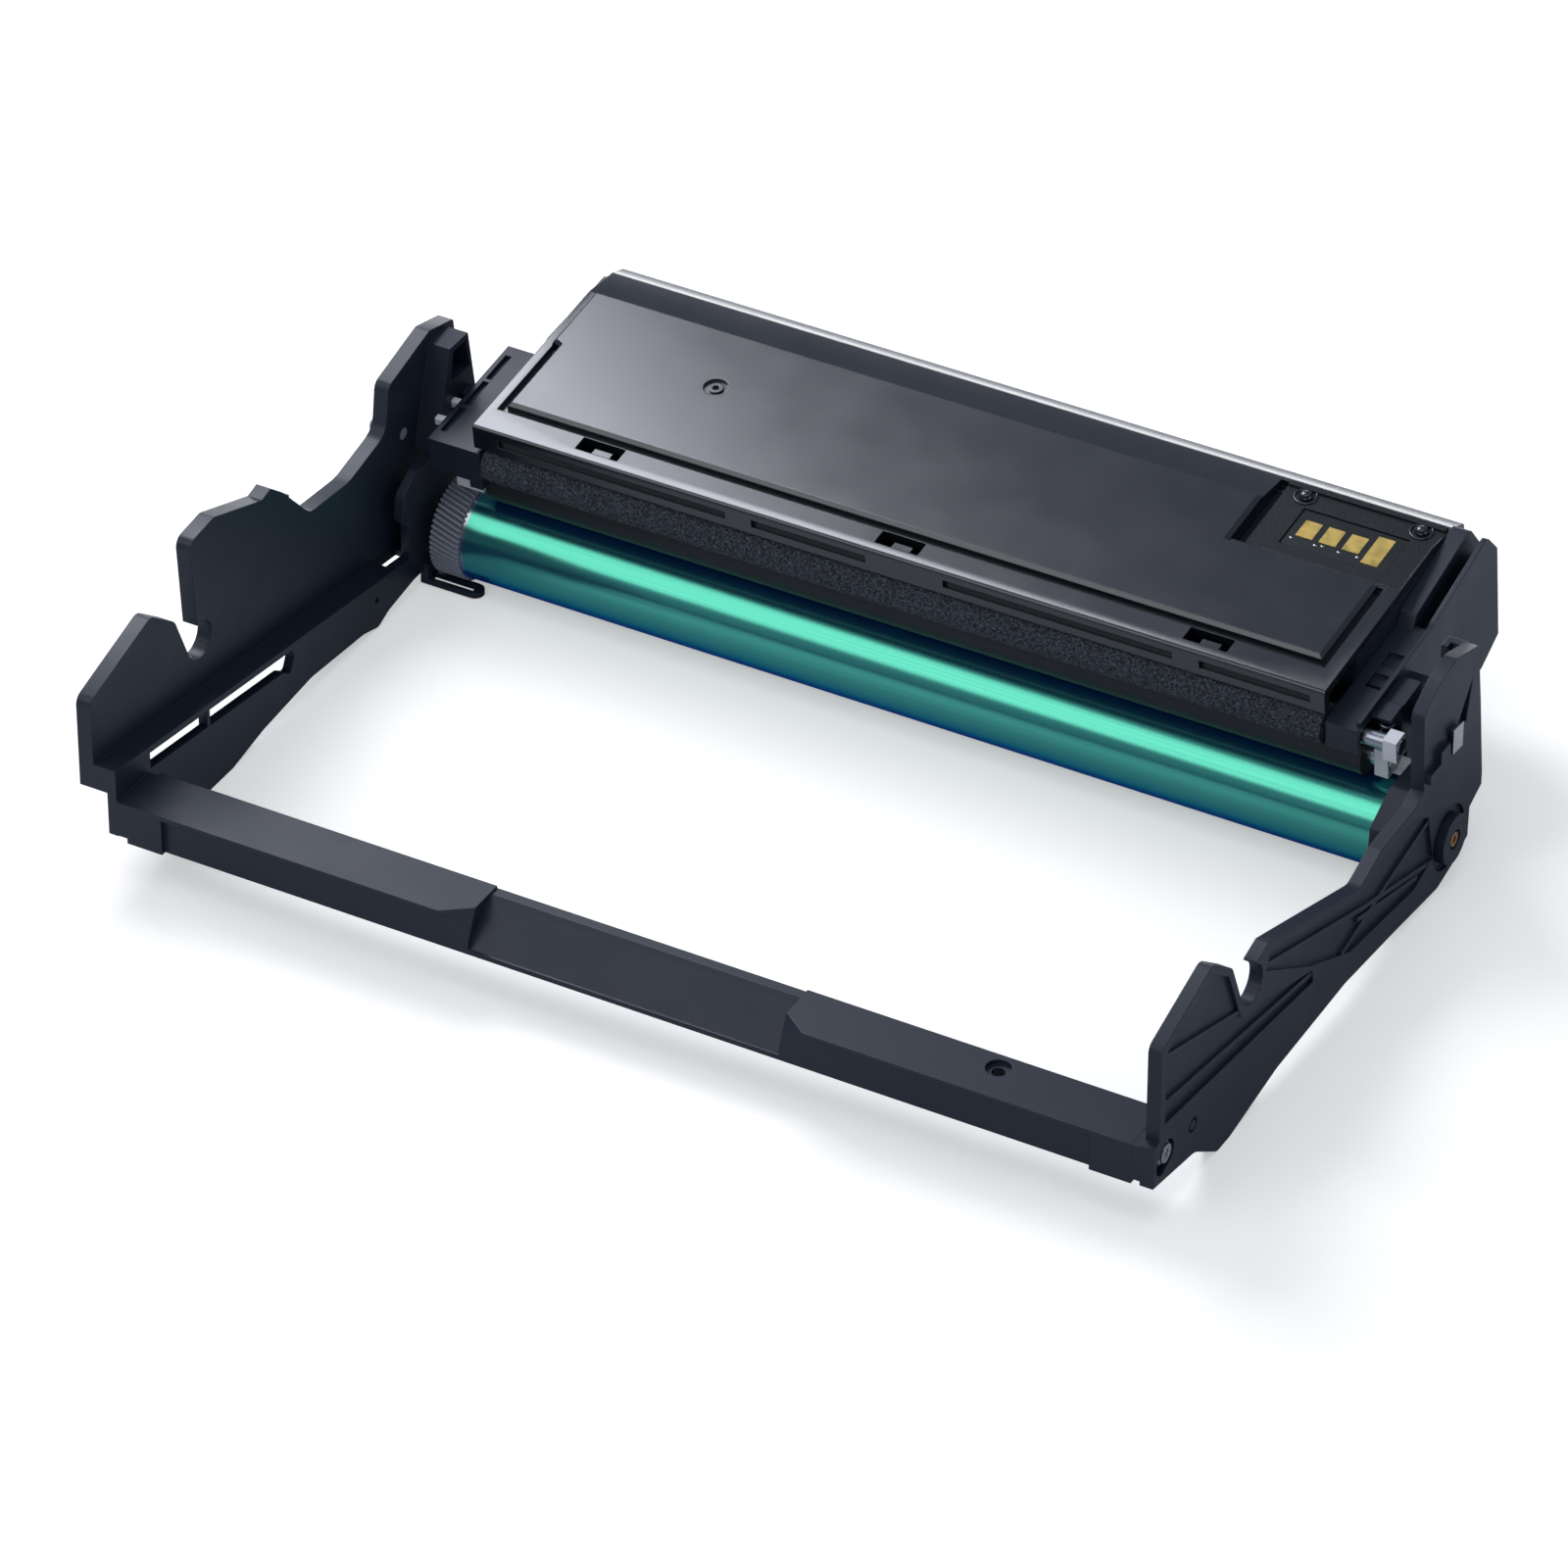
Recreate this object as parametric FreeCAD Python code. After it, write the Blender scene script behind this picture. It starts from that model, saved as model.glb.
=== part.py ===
import FreeCAD, Part
import math
import os

from FreeCAD import Vector

os.makedirs("parts", exist_ok=True)

# Frame of the whole unit
# X runs along the drum, from the gear end to the screw end.
# Y runs from the front bar to the waste housing. Z is up, with the table at zero.
# The origin is in the middle of the unit's outer box, on the table.

# Driving dimensions, in millimetres
arm_reach = 150.3           # from the drum axis to the front end of the arms
drum_height = 12.8          # from the table to the drum axis
housing_tilt = 6.8          # degrees by which the waste housing leans back on the arms

drum_radius = 12.0
drum_length = 252.4
drum_wall = 0.9
drum_from_left = 20.5       # from the left arm's outer face to the drum's end
arm_beyond_drum = 10.1      # from the drum's other end to the right arm's outer face
shaft_radius = 3.0
shaft_play = 0.05           # radial running clearance on fixed shafts

gear_width = 7.9
gear_tip_radius = 12.8
gear_root_radius = 11.5
gear_teeth = 56
gear_twist = 9.6            # degrees that a helical tooth turns over the gear's width
gear_steps = 2

charge_radius = 6.0
charge_core_radius = 3.0
charge_side_shift = 1.5     # the charge roller sits this far behind the drum's crown
roller_gap = 0.3            # air between neighbouring rollers
foam_radius = 5.0
foam_core_radius = 2.0
foam_lean = 30.0            # degrees from upright, charge roller to cleaning roller

arm_plate = 4.0             # thickness of the left arm's plate
right_plate = 3.4           # thickness of the right arm's plate
right_foot_width = 5.6      # the right arm is thicker where the bar is screwed to it
right_relief = 1.0          # depth of the panels in the right arm
ledge_width = 10.0          # the left arm steps in by this much above the lower wall
ledge_wall = 1.8
lower_wall = 2.5
rim_width = 2.4             # raised rim round the arm panels
rim_height = 1.8
rib_width = 1.3
notch_radius = 5.0          # seat for the toner cartridge's guide pin
notch_from_front = 47.7     # from the arm's front to the notch centre
notch_height = 36.8
peg_reach = 4.2             # grey guide block on the left arm
boss_reach = 1.8            # round boss on the right arm
boss_radius = 6.4
boss_groove = 2.0

bar_depth = 15.0
bar_top = 21.6              # height of the bar's upper face above the table
bar_bottom = 10.6
bar_wall = 2.2
bar_end_block = 9.6
bar_set_back = 1.4          # the front face lies this far behind the end blocks
grip_start = 84.0           # from the drum's left end to the finger recess
grip_length = 82.0
grip_wall = 2.2
grip_lip = 1.3              # thin lip along the bottom of the finger recess
grip_rim_drop = 0.6
grip_bevel = 7.0

lid_top = 40.0              # lid face above the drum axis, across the housing tilt
lid_front = -6.8
lid_from_drum = 4.4         # lid's left edge from the drum's left end
lid_before_end = 18.0       # lid's right edge before the drum's right end
lid_wall = 2.4
apron_drop = 6.8
panel_rise = 1.2
moat_width = 1.8            # groove round the raised panel
moat_depth = 1.4
panel_edge_left = 4.2
panel_edge_right = 5.6
panel_front = 3.0
panel_rear = 50.4
roof_break = 61.3           # where the lid's rear slope turns steeper
roof_break_drop = 2.2
rear_wall = 67.0
rear_edge_drop = 5.0
lid_skirt = 4.0
housing_wall = 2.2
housing_front = 9.5
blade_wall = 17.0           # inner wall that carries the cleaning blade
blade_shelf = 24.0
belly_front = -4.5
belly_mid = 0.3
belly_mid_y = 57.3
rear_low = 3.9

shelf_height = 32.0         # end shelves beside the lid
shelf_wall = 1.6
shelf_depth = 29.6
shelf_slot_depth = 1.2      # the left shelf's three slots are blind
cheek_front = 1.2           # end covers' front plates stand this far before the shelves
cheek_wall = 0.8
left_shelf_width = 12.8
right_shelf_width = 8.9
end_gap = 0.1               # parting line between the housing and its end covers
left_cap_wall = 2.2
rail_width = 4.4            # bar beside the lid's right rear part
rail_wall = 1.3
rail_channel_floor = 27.5

chip_width = 42.0
chip_before_end = 60.4      # chip holder's left edge before the drum's right end
chip_channel = 2.4          # gap left of the holder
chip_front = 33.4
chip_rear = 60.0
chip_floor = 38.2
chip_holder_depth = 2.2
contact_pitch = 6.1
contact_width = 4.4
contact_height = 6.0

bush_width = 6.6
bush_height = 8.0
bush_length = 3.6
spring_wire = 0.5
spring_radius = 2.0
spring_turns = 4

# Places worked out from the driving dimensions
tilt = math.radians(housing_tilt)
arm_span = drum_from_left + drum_length + arm_beyond_drum
left_face = -(arm_span + peg_reach + boss_reach) / 2 + peg_reach
right_face = left_face + arm_span
rear_reach = rear_wall * math.cos(tilt) - rear_low * math.sin(tilt)
drum_y = (arm_reach - rear_reach) / 2
drum_start = left_face + drum_from_left
drum_end = drum_start + drum_length
gear_start = drum_start - gear_width
plate_inner = left_face + arm_plate
wall_inner = left_face + ledge_width
wall_outer = wall_inner - lower_wall
right_inner = right_face - right_plate
lid_left = drum_start + lid_from_drum
lid_right = drum_end - lid_before_end
lid_length = lid_right - lid_left
charge_y = charge_side_shift
charge_z = math.sqrt((drum_radius + charge_radius + roller_gap) ** 2 - charge_y ** 2)
foam_distance = charge_radius + foam_radius + roller_gap
foam_y = charge_y - foam_distance * math.sin(math.radians(foam_lean))
foam_z = charge_z + foam_distance * math.cos(math.radians(foam_lean))


# Helpers for outlines and simple solids
arc_step = math.radians(26)
least_turn = math.radians(4)


def corner_points(before, corner, after):
    """Points along the arc that rounds one corner given as (y, z, radius)."""
    here = Vector(0, corner[0], corner[1])
    to_before = Vector(0, before[0], before[1]) - here
    to_after = Vector(0, after[0], after[1]) - here
    opening = to_before.getAngle(to_after)
    turn = math.pi - opening
    if corner[2] == 0 or turn < least_turn:
        return [here]
    room = 0.45 * min(to_before.Length, to_after.Length)
    reach = min(corner[2] / math.tan(opening / 2), room)
    radius = reach * math.tan(opening / 2)
    to_before.normalize()
    to_after.normalize()
    inward = to_before + to_after
    inward.normalize()
    centre = here + inward * (radius / math.sin(opening / 2))
    first = here + to_before * reach - centre
    last = here + to_after * reach - centre
    steps = math.ceil(turn / arc_step)
    points = []
    for i in range(steps + 1):
        angle = turn * i / steps
        spoke = first * math.sin(turn - angle) + last * math.sin(angle)
        points.append(centre + spoke * (1 / math.sin(turn)))
    return points


def outline(corners):
    """Closed face in the YZ plane through (y, z, corner radius) points."""
    count = len(corners)
    points = []
    for i, corner in enumerate(corners):
        points += corner_points(corners[i - 1], corner, corners[(i + 1) % count])
    points.append(points[0])
    return Part.Face(Part.makePolygon(points))


def slab(corners, x0, x1):
    """Outline pushed along X from x0 to x1."""
    face = outline(corners)
    face.translate(Vector(x0, 0, 0))
    return face.extrude(Vector(x1 - x0, 0, 0))


def block(x0, x1, y0, y1, z0, z1):
    return Part.makeBox(x1 - x0, y1 - y0, z1 - z0, Vector(x0, y0, z0))


def rod(x0, x1, y, z, radius):
    return Part.makeCylinder(radius, x1 - x0, Vector(x0, y, z), Vector(1, 0, 0))


def prism(x0, x1, y, z, radius, sides):
    """Many-sided bar along X, for small round details."""
    ring = []
    for i in range(sides + 1):
        angle = 2 * math.pi * i / sides
        ring.append(Vector(x0, y + radius * math.cos(angle), z + radius * math.sin(angle)))
    return Part.Face(Part.makePolygon(ring)).extrude(Vector(x1 - x0, 0, 0))


def post(x, y, z0, z1, radius):
    """Sixteen-sided upright, for small round details."""
    shape = prism(0, z1 - z0, 0, 0, radius, 16)
    shape.rotate(Vector(0, 0, 0), Vector(0, 1, 0), -90)
    shape.translate(Vector(x, y, z0))
    return shape


def screw_pilot(x, y0, y1, z, radius):
    """Small pilot hole along Y."""
    shape = prism(0, y1 - y0, 0, 0, radius, 10)
    shape.rotate(Vector(0, 0, 0), Vector(0, 0, 1), 90)
    shape.translate(Vector(x, y0, z))
    return shape


def strip(x0, x1, start, end, width):
    """Straight rib of a given width between two (y, z) points."""
    along = Vector(0, end[0] - start[0], end[1] - start[1])
    across = Vector(0, -along.z, along.y)
    across.normalize()
    across *= width / 2
    first = Vector(x0, start[0], start[1])
    last = Vector(x0, end[0], end[1])
    ring = [first + across, last + across, last - across, first - across, first + across]
    return Part.Face(Part.makePolygon(ring)).extrude(Vector(x1 - x0, 0, 0))


def joined(first, *others):
    return first.fuse(list(others)).removeSplitter()


def on_arms(shape):
    """From arm axes (y from the drum axis, z from the table) to the unit's frame."""
    shape.translate(Vector(0, drum_y, 0))
    return shape


def on_housing(shape):
    """From housing axes (y and z from the drum axis, leaning) to the unit's frame."""
    shape.rotate(Vector(0, 0, 0), Vector(1, 0, 0), housing_tilt)
    shape.translate(Vector(0, drum_y, drum_height))
    return shape


def save(name, shape):
    shape.exportStep("parts/" + name + ".step")
    print(name, len(shape.Solids), round(shape.Volume))


# Side arm outlines, y from the drum axis and z from the table
front = -arm_reach
notch_y = front + notch_from_front
fin_top = notch_height + 11.2
fin_peak = notch_height + 19.2
fin_peak_back = 27.0        # from the arm's front to the peak of the first fin
heel_y = front + 34.0       # the arm stands on the table here
rear_fin_front = notch_y - 3.0
rear_fin_top = notch_height + 30.4
waist_left = 42.5
waist_right = 28.5
tower_front = -16.6
tower_top = 63.6
tower_rear = 12.0
ledge_top_front = 30.4
ledge_slope = 0.143
ledge_skirt = 7.0
heel_tail = -5.0
window_front = -24.5
window_rear = -15.2


def ledge_line(y):
    """Height of the left arm's ledge, which falls towards the drum."""
    return ledge_top_front - ledge_slope * (y - front)


def between(share):
    """Y of a place between the tower (share 0) and the pin notch (share 1)."""
    return tower_front + share * (notch_y - tower_front)


def fin_and_notch(front_edge, foot, beak):
    """First fin, pin notch and the beak behind it, from the foot upwards."""
    return [
        (front_edge, foot, 0),
        (front_edge, fin_top, 2.5),
        (front + fin_peak_back, fin_peak, 3.2),
        (front + fin_peak_back + 10.0, fin_top + 0.5, 3.5),
        (notch_y - notch_radius, notch_height - 2.0, 0),
        (notch_y - notch_radius + 2.4, notch_height - 4.2, 0),
        (notch_y + notch_radius - 1.4, notch_height - 3.6, 0),
        beak,
    ]


# Left side arm
left_beak = (notch_y + 4.0, notch_height + 2.8, 0.8)
left_fin = fin_and_notch(front, ledge_top_front - ledge_skirt, left_beak)
left_fin += [
    (rear_fin_front + 1.8, notch_height + 3.8, 0),
    (rear_fin_front, rear_fin_top - 1.2, 2.6),
    (rear_fin_front + 11.0, rear_fin_top, 2.2),
    (rear_fin_front + 32.0, rear_fin_top - 7.6, 0),
    (rear_fin_front + 36.0, rear_fin_top - 6.6, 0),
    (rear_fin_front + 41.0, rear_fin_top - 10.6, 1.5),
    (between(0.42), waist_left + 1.2, 5.0),
    (between(0.21), waist_left - 0.5, 8.0),
    (tower_front - 0.6, waist_left + 3.5, 5.0),
    (tower_front + 1.0, tower_top - 5.2, 2.5),
    (tower_front + 20.6, tower_top, 1.5),
    (tower_rear + 3.0, tower_top - 2.8, 1.0),
    (tower_rear + 7.4, 36.4, 0),
    (tower_rear + 8.3, 21.0, 0),
    (tower_rear + 5.3, 17.5, 0),
    (tower_rear - 0.8, 14.6, 0),
    (tower_rear - 0.8, ledge_line(tower_rear) - ledge_wall, 0),
    (window_front - 5.5, ledge_line(window_front) - ledge_wall, 0),
    (window_front - 8.5, ledge_line(window_front) - ledge_skirt, 1.5),
]
left_plate = slab(left_fin, left_face, plate_inner)
left_plate = left_plate.cut(rod(left_face - 1, plate_inner + 1, notch_y, notch_height, notch_radius))

left_panels = [
    [
        (front + rim_width, ledge_line(front) + 1.5, 0),
        (front + rim_width, fin_top - 1.5, 1.5),
        (front + fin_peak_back, fin_peak - rim_width, 1.5),
        (front + fin_peak_back + 8.6, fin_top - 1.0, 1.5),
        (notch_y - notch_radius - rim_width, notch_height - 7.0, 0),
        (notch_y - notch_radius, ledge_line(notch_y) + 3.0, 0),
    ],
    [
        (rear_fin_front + 3.4, notch_height + 10.0, 0),
        (rear_fin_front + 3.0, rear_fin_top - 4.0, 1.5),
        (rear_fin_front + 11.0, rear_fin_top - 3.2, 1.5),
        (rear_fin_front + 38.0, rear_fin_top - 12.4, 1.5),
        (between(0.45), waist_left - 2.0, 3.0),
        (window_front, waist_left - 2.6, 0),
        (window_front, ledge_line(window_front) + 2.0, 0),
        (notch_y + 12.0, ledge_line(notch_y) + 1.5, 0),
    ],
]
for panel in left_panels:
    left_plate = left_plate.cut(slab(panel, left_face - 1, left_face + rim_height))
left_post = between(0.5)
left_ribs = [
    ((front + 1.5, fin_top - 3.0), (notch_y - 5.5, ledge_line(notch_y) + 4.0)),
    ((notch_y + 11.0, ledge_line(notch_y) + 2.0), (left_post, rear_fin_top - 15.2)),
    ((left_post, ledge_line(left_post) + 1.0), (left_post, rear_fin_top - 15.2)),
    ((left_post, ledge_line(left_post) + 1.0), (window_front, waist_left - 3.0)),
]
for start, end in left_ribs:
    left_plate = left_plate.fuse(strip(left_face + 0.4, left_face + rim_height + 0.4, start, end, rib_width))

ledge = slab([
    (front, ledge_line(front) - ledge_wall, 0),
    (front, ledge_line(front), 0),
    (tower_rear - 0.8, ledge_line(tower_rear), 0),
    (tower_rear - 0.8, ledge_line(tower_rear) - ledge_wall, 0),
], left_face + 1.0, wall_inner)
ledge_end = slab([
    (front, ledge_line(front) - ledge_skirt, 0),
    (front, ledge_line(front), 0),
    (front + 2.0, ledge_line(front), 0),
    (front + 2.0, ledge_line(front) - ledge_skirt, 0),
], left_face + 0.5, wall_inner)
left_wall = slab([
    (front, bar_bottom + 1.2, 0),
    (front, ledge_line(front) - 1.0, 0),
    (tower_rear - 0.8, ledge_line(tower_rear) - 1.0, 0),
    (tower_rear - 0.8, 4.6, 2.0),
    (tower_front + 0.6, 4.2, 3.0),
    (between(0.13), 2.4, 2.0),
    (between(0.19), 0.4, 2.5),
    (between(0.27), 2.3, 5.0),
    (between(0.55), 4.4, 10.0),
    (between(0.81), 2.6, 8.0),
    (heel_y + 16.3, 0.0, 4.0),
    (heel_y, 0.0, 4.0),
    (heel_y - 13.7, 8.6, 5.0),
], wall_outer, wall_inner)
slot_front = front + bar_depth
slot_rear = between(0.68)
slot_height = 4.5
left_slot = slab([
    (slot_front, ledge_line(slot_front) - ledge_wall - slot_height, 0),
    (slot_front, ledge_line(slot_front) - ledge_wall, 0),
    (slot_rear + 2.4, ledge_line(slot_rear) - ledge_wall - 0.3, 1.0),
    (slot_rear + 4.0, ledge_line(slot_rear) - ledge_wall - 2.6, 1.0),
    (slot_rear + 2.0, ledge_line(slot_rear) - ledge_wall - slot_height - 2.2, 1.0),
    (slot_rear - 1.5, ledge_line(slot_rear) - ledge_wall - slot_height, 0),
], wall_outer - 1, wall_inner + 1)
slot_rib = front + 40.0
left_slot = left_slot.cut(block(wall_outer - 2, wall_inner + 2, slot_rib, slot_rib + 1.2, 0, 40))
left_wall = left_wall.cut(left_slot)
left_wall = left_wall.cut(prism(wall_outer - 1, wall_inner + 1, -33.2, 8.4, 0.9, 12))
left_foot = block(wall_outer, wall_inner + 2.5, front, front + bar_depth - 1.0, 12.0, bar_top)
left_arm = joined(left_plate, ledge, ledge_end, left_wall, left_foot)
window = block(left_face + 4.4, wall_outer - 0.2, window_front, window_rear, -1, 30)
left_arm = left_arm.cut(window)

bearing_wall = slab([
    (-17.6, ledge_line(-17.6) - 1.0, 0),
    (-17.6, 21.0, 1.5),
    (-20.8, 24.0, 1.5),
    (-19.6, 30.5, 2.5),
    (-13.0, 34.5, 2.5),
    (tower_rear, 34.5, 0),
    (tower_rear, 6.5, 0),
], wall_outer, wall_inner)
box_corners = [(3.5, tower_top - 3.2, 0), (tower_rear, tower_top - 3.2, 0), (16.6, 34.0, 0), (-4.4, 34.0, 0)]
tower_box = slab(box_corners, plate_inner - 1, wall_inner)
tower_pocket = slab([
    (5.0, tower_top - 4.6, 0),
    (tower_rear - 1.4, tower_top - 4.6, 0),
    (tower_rear + 0.6, tower_top - 13.0, 0),
    (3.0, tower_top - 13.0, 0),
], plate_inner + 1.5, wall_inner + 1)
shaft_web = block(plate_inner - 1, wall_outer + 1, -4.0, 4.0, drum_height - 4.0, drum_height + 4.0)
guard_z = 0.3
guard_front = -11.2
guard_rear = -6.4
guard_end_x = drum_start + 2.6
gear_guard = block(wall_inner - 1, guard_end_x, guard_front, guard_rear, guard_z, guard_z + 1.4)
guard_end = post(guard_end_x, (guard_front + guard_rear) / 2, guard_z, guard_z + 1.4, 2.4)
guard_gap = block(wall_inner + 1.2, guard_end_x, guard_front + 1.3, guard_rear - 1.2, guard_z - 1, guard_z + 2)
guard_root = block(wall_inner - 1, wall_inner + 1.2, guard_front, guard_rear, guard_z, 6.0)
guard = joined(gear_guard, guard_end).cut(guard_gap)
left_arm = joined(left_arm, bearing_wall, tower_box.cut(tower_pocket), shaft_web, guard, guard_root)
left_arm = left_arm.cut(rod(plate_inner - 1.5, wall_inner + 1, 0, drum_height, shaft_radius))
bar_screw_z = 16.8
bar_screw_y = front + 6.5
left_arm = left_arm.cut(prism(wall_outer - 1, wall_inner + 3, bar_screw_y, bar_screw_z, 1.7, 12))
peg_y = -9.3
peg_z = 41.3
peg_half_y = 2.3
peg_half_z = 2.1
left_arm = left_arm.cut(prism(left_face - 1, plate_inner + 1, peg_y, peg_z, 1.6, 16))
save("left_side_arm", on_arms(left_arm))

peg_head = block(left_face - peg_reach, left_face, peg_y - peg_half_y, peg_y + peg_half_y,
                 peg_z - peg_half_z, peg_z + peg_half_z)
peg_edges = [e for e in peg_head.Edges if abs(e.tangentAt(e.FirstParameter).x) > 0.9]
peg_head = peg_head.makeChamfer(0.5, peg_edges)
peg_head = peg_head.cut(block(left_face - peg_reach - 1, left_face - 1.4, peg_y - 0.8, peg_y + 0.8,
                              peg_z - 5, peg_z + 5))
peg = joined(peg_head, prism(left_face - 1, plate_inner, peg_y, peg_z, 1.6, 16))
save("guide_peg", on_arms(peg))

# Right side arm
fin_set_back = 2.6
right_beak = (notch_y + 1.6, notch_height + 5.2, 0.4)
right_fin = [(front, bar_top + 0.6, 0)]
right_fin += fin_and_notch(front + fin_set_back, bar_top + 0.6, right_beak)
right_fin += [
    (notch_y + 7.6, notch_height + 7.0, 1.2),
    (between(0.36), waist_right, 4.0),
    (between(0.235), waist_right + 3.9, 1.5),
    (-19.3, waist_right + 4.6, 1.5),
    (tower_front + 1.6, waist_right + 6.8, 0),
    (tower_front, tower_top - 6.0, 2.5),
    (tower_front + 9.0, tower_top - 1.3, 2.0),
    (tower_front + 17.0, tower_top, 1.5),
    (tower_rear, tower_top - 3.2, 1.0),
    (tower_rear + 2.5, 43.3, 0),
    (tower_rear + 5.3, 21.0, 0),
    (tower_rear + 5.3, 17.5, 0),
    (tower_rear - 0.8, 14.6, 0),
    (tower_rear - 1.2, 6.6, 0),
    (3.0, 3.2, 3.0),
    (heel_tail, 1.2, 3.0),
    (between(0.15), 3.4, 8.0),
    (between(0.43), 5.2, 10.0),
    (between(0.836), 3.9, 10.0),
    (heel_y + 4.3, 0.0, 3.0),
    (heel_y - 2.0, 0.0, 3.0),
    (heel_y - 13.3, 7.6, 4.0),
    (front, 10.9, 0),
]
right_arm = slab(right_fin, right_inner, right_face)
right_arm = right_arm.cut(rod(right_inner - 1, right_face + 1, notch_y, notch_height, notch_radius))
fin_panel = [
    (front + 5.1, 25.9, 0),
    (front + 5.1, fin_top - 2.4, 2.0),
    (front + fin_peak_back, fin_peak - rim_width - 0.4, 1.5),
    (front + fin_peak_back + 8.4, fin_top - 0.8, 1.5),
    (notch_y - notch_radius - 0.6, notch_height - 5.4, 0),
    (notch_y - 2.0, notch_height - 8.0, 0),
    (notch_y + 4.6, notch_height - 7.8, 0),
    (between(0.638), 20.6, 0),
    (between(0.633), 17.0, 0),
]
waist_panel = [
    (notch_y + 6.6, notch_height - 0.4, 0),
    (notch_y + 8.6, notch_height + 4.2, 0),
    (between(0.356), waist_right - 2.8, 2.5),
    (between(0.233), waist_right + 1.4, 1.0),
    (-20.0, waist_right + 1.8, 1.0),
    (-11.6, waist_right - 2.6, 0),
    (-8.2, 12.0, 0),
    (-18.0, 9.0, 1.0),
    (between(0.41), 13.0, 1.5),
    (between(0.65), 22.4, 0),
]
fork = between(0.328)
right_ribs = [
    ((front + 3.0, fin_top - 2.7), (notch_y - 1.4, notch_height - 5.2)),
    ((front + 4.3, 31.6), (between(0.627), 19.4)),
    ((notch_y + 5.1, notch_height + 1.4), (fork, 21.2)),
    ((fork, 21.2), (-6.9, 10.6)),
    ((between(0.458), 14.6), (between(0.212), 19.6)),
    ((between(0.212), 19.6), (-9.0, 24.6)),
    ((between(0.365), 19.6), (-16.1, 11.4)),
]
for panel in (fin_panel, waist_panel):
    right_arm = right_arm.cut(slab(panel, right_face - right_relief, right_face + 1))
for start, end in right_ribs:
    rib = strip(right_face - right_relief - 0.4, right_face - 0.2, start, end, rib_width)
    right_arm = right_arm.fuse(rib)
inner_pocket = [
    (front + 5.6, ledge_line(front) - 3.0, 0),
    (front + 5.6, fin_top - 3.5, 0),
    (front + fin_peak_back, fin_peak - 3.4, 0),
    (front + fin_peak_back + 8.0, fin_top - 2.0, 0),
    (notch_y - notch_radius - 2.4, notch_height - 8.0, 0),
    (between(0.5), 22.0, 0),
    (between(0.5), 12.0, 0),
    (heel_y - 1.7, 9.0, 0),
    (front + bar_depth + 1.0, bar_top, 0),
]
right_arm = right_arm.cut(slab(inner_pocket, right_inner - 1, right_inner + 0.8))

boss = rod(right_face - 1.2, right_face + boss_reach, 0, drum_height, boss_radius)
boss_ring = rod(right_face - 1.0, right_face + 1, 0, drum_height, boss_radius + boss_groove)
right_arm = right_arm.cut(boss_ring).fuse(boss)
cradle_inner = drum_end + 0.9
cradle = slab([
    (-26.0, 8.0, 3.0),
    (-24.0, waist_right - 1.0, 2.0),
    (-13.5, waist_right + 4.4, 2.0),
    (tower_rear, waist_right + 4.4, 0),
    (tower_rear, 6.8, 0),
    (2.0, 3.4, 3.0),
    (-12.0, 3.4, 3.0),
], cradle_inner, right_inner + 1)
cradle_hollow = rod(cradle_inner - 1, cradle_inner + 2.0, 0, drum_height, drum_radius + 0.9)
right_arm = right_arm.fuse(cradle.cut(cradle_hollow))
claw_x = right_face - 7.6
claw_bar = block(claw_x, right_inner + 1, tower_rear - 2.4, tower_rear - 0.2, tower_top - 5.4, tower_top - 3.0)
claw_tip = block(claw_x, claw_x + 1.6, tower_rear - 4.4, tower_rear - 0.2, tower_top - 6.6, tower_top - 3.0)
clip = block(right_face - 0.5, right_face + 1.5, -14.6, -4.6, 37.4, 40.0)
clip_step = block(right_face - 0.5, right_face + 1.5, -9.2, -4.6, 39.6, 43.4)
foot_inner = right_face - right_foot_width
right_foot = block(foot_inner, right_face - 1, front, front + bar_depth - 1.0, 12.0, bar_top)
right_arm = joined(right_arm, claw_bar, claw_tip, clip, clip_step, right_foot)
right_arm = right_arm.cut(rod(drum_end, right_face + 0.1, 0, drum_height, shaft_radius))
right_arm = right_arm.cut(prism(right_face + 0.1, right_face + 3, 0, drum_height, 2.6, 24))
right_arm = right_arm.cut(prism(right_face - 2.0, right_face + 1, bar_screw_y, bar_screw_z, 3.6, 24))
right_arm = right_arm.cut(prism(right_face - 2.0, right_face + 1, bar_screw_y - 2.0, bar_screw_z - 1.6, 3.0, 24))
right_arm = right_arm.cut(prism(foot_inner - 2, right_face, bar_screw_y, bar_screw_z, 1.7, 12))
mark_y = front + 19.3
mark_z = 16.2
mark = prism(right_face - 0.6, right_face + 1, mark_y, mark_z, 2.0, 16)
mark = mark.cut(prism(right_face - 1, right_face + 2, mark_y, mark_z, 1.3, 16))
right_arm = right_arm.cut(mark)
tower_slit = slab([(2.0, 44.0, 0), (9.5, 53.0, 0), (6.8, 42.0, 0)], right_face - 1.4, right_face + 1)
right_arm = right_arm.cut(tower_slit)
save("right_side_arm", on_arms(right_arm))

terminal = slab([(-3.0, 38.9, 0), (-3.0, 45.8, 0), (2.2, 45.4, 0), (2.2, 38.5, 0)],
                right_face + 0.9, right_face + 1.5)
terminal_foot = block(right_face, right_face + 1.0, -1.6, 1.2, 39.8, 44.6)
save("contact_terminal", on_arms(joined(terminal, terminal_foot)))

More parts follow.
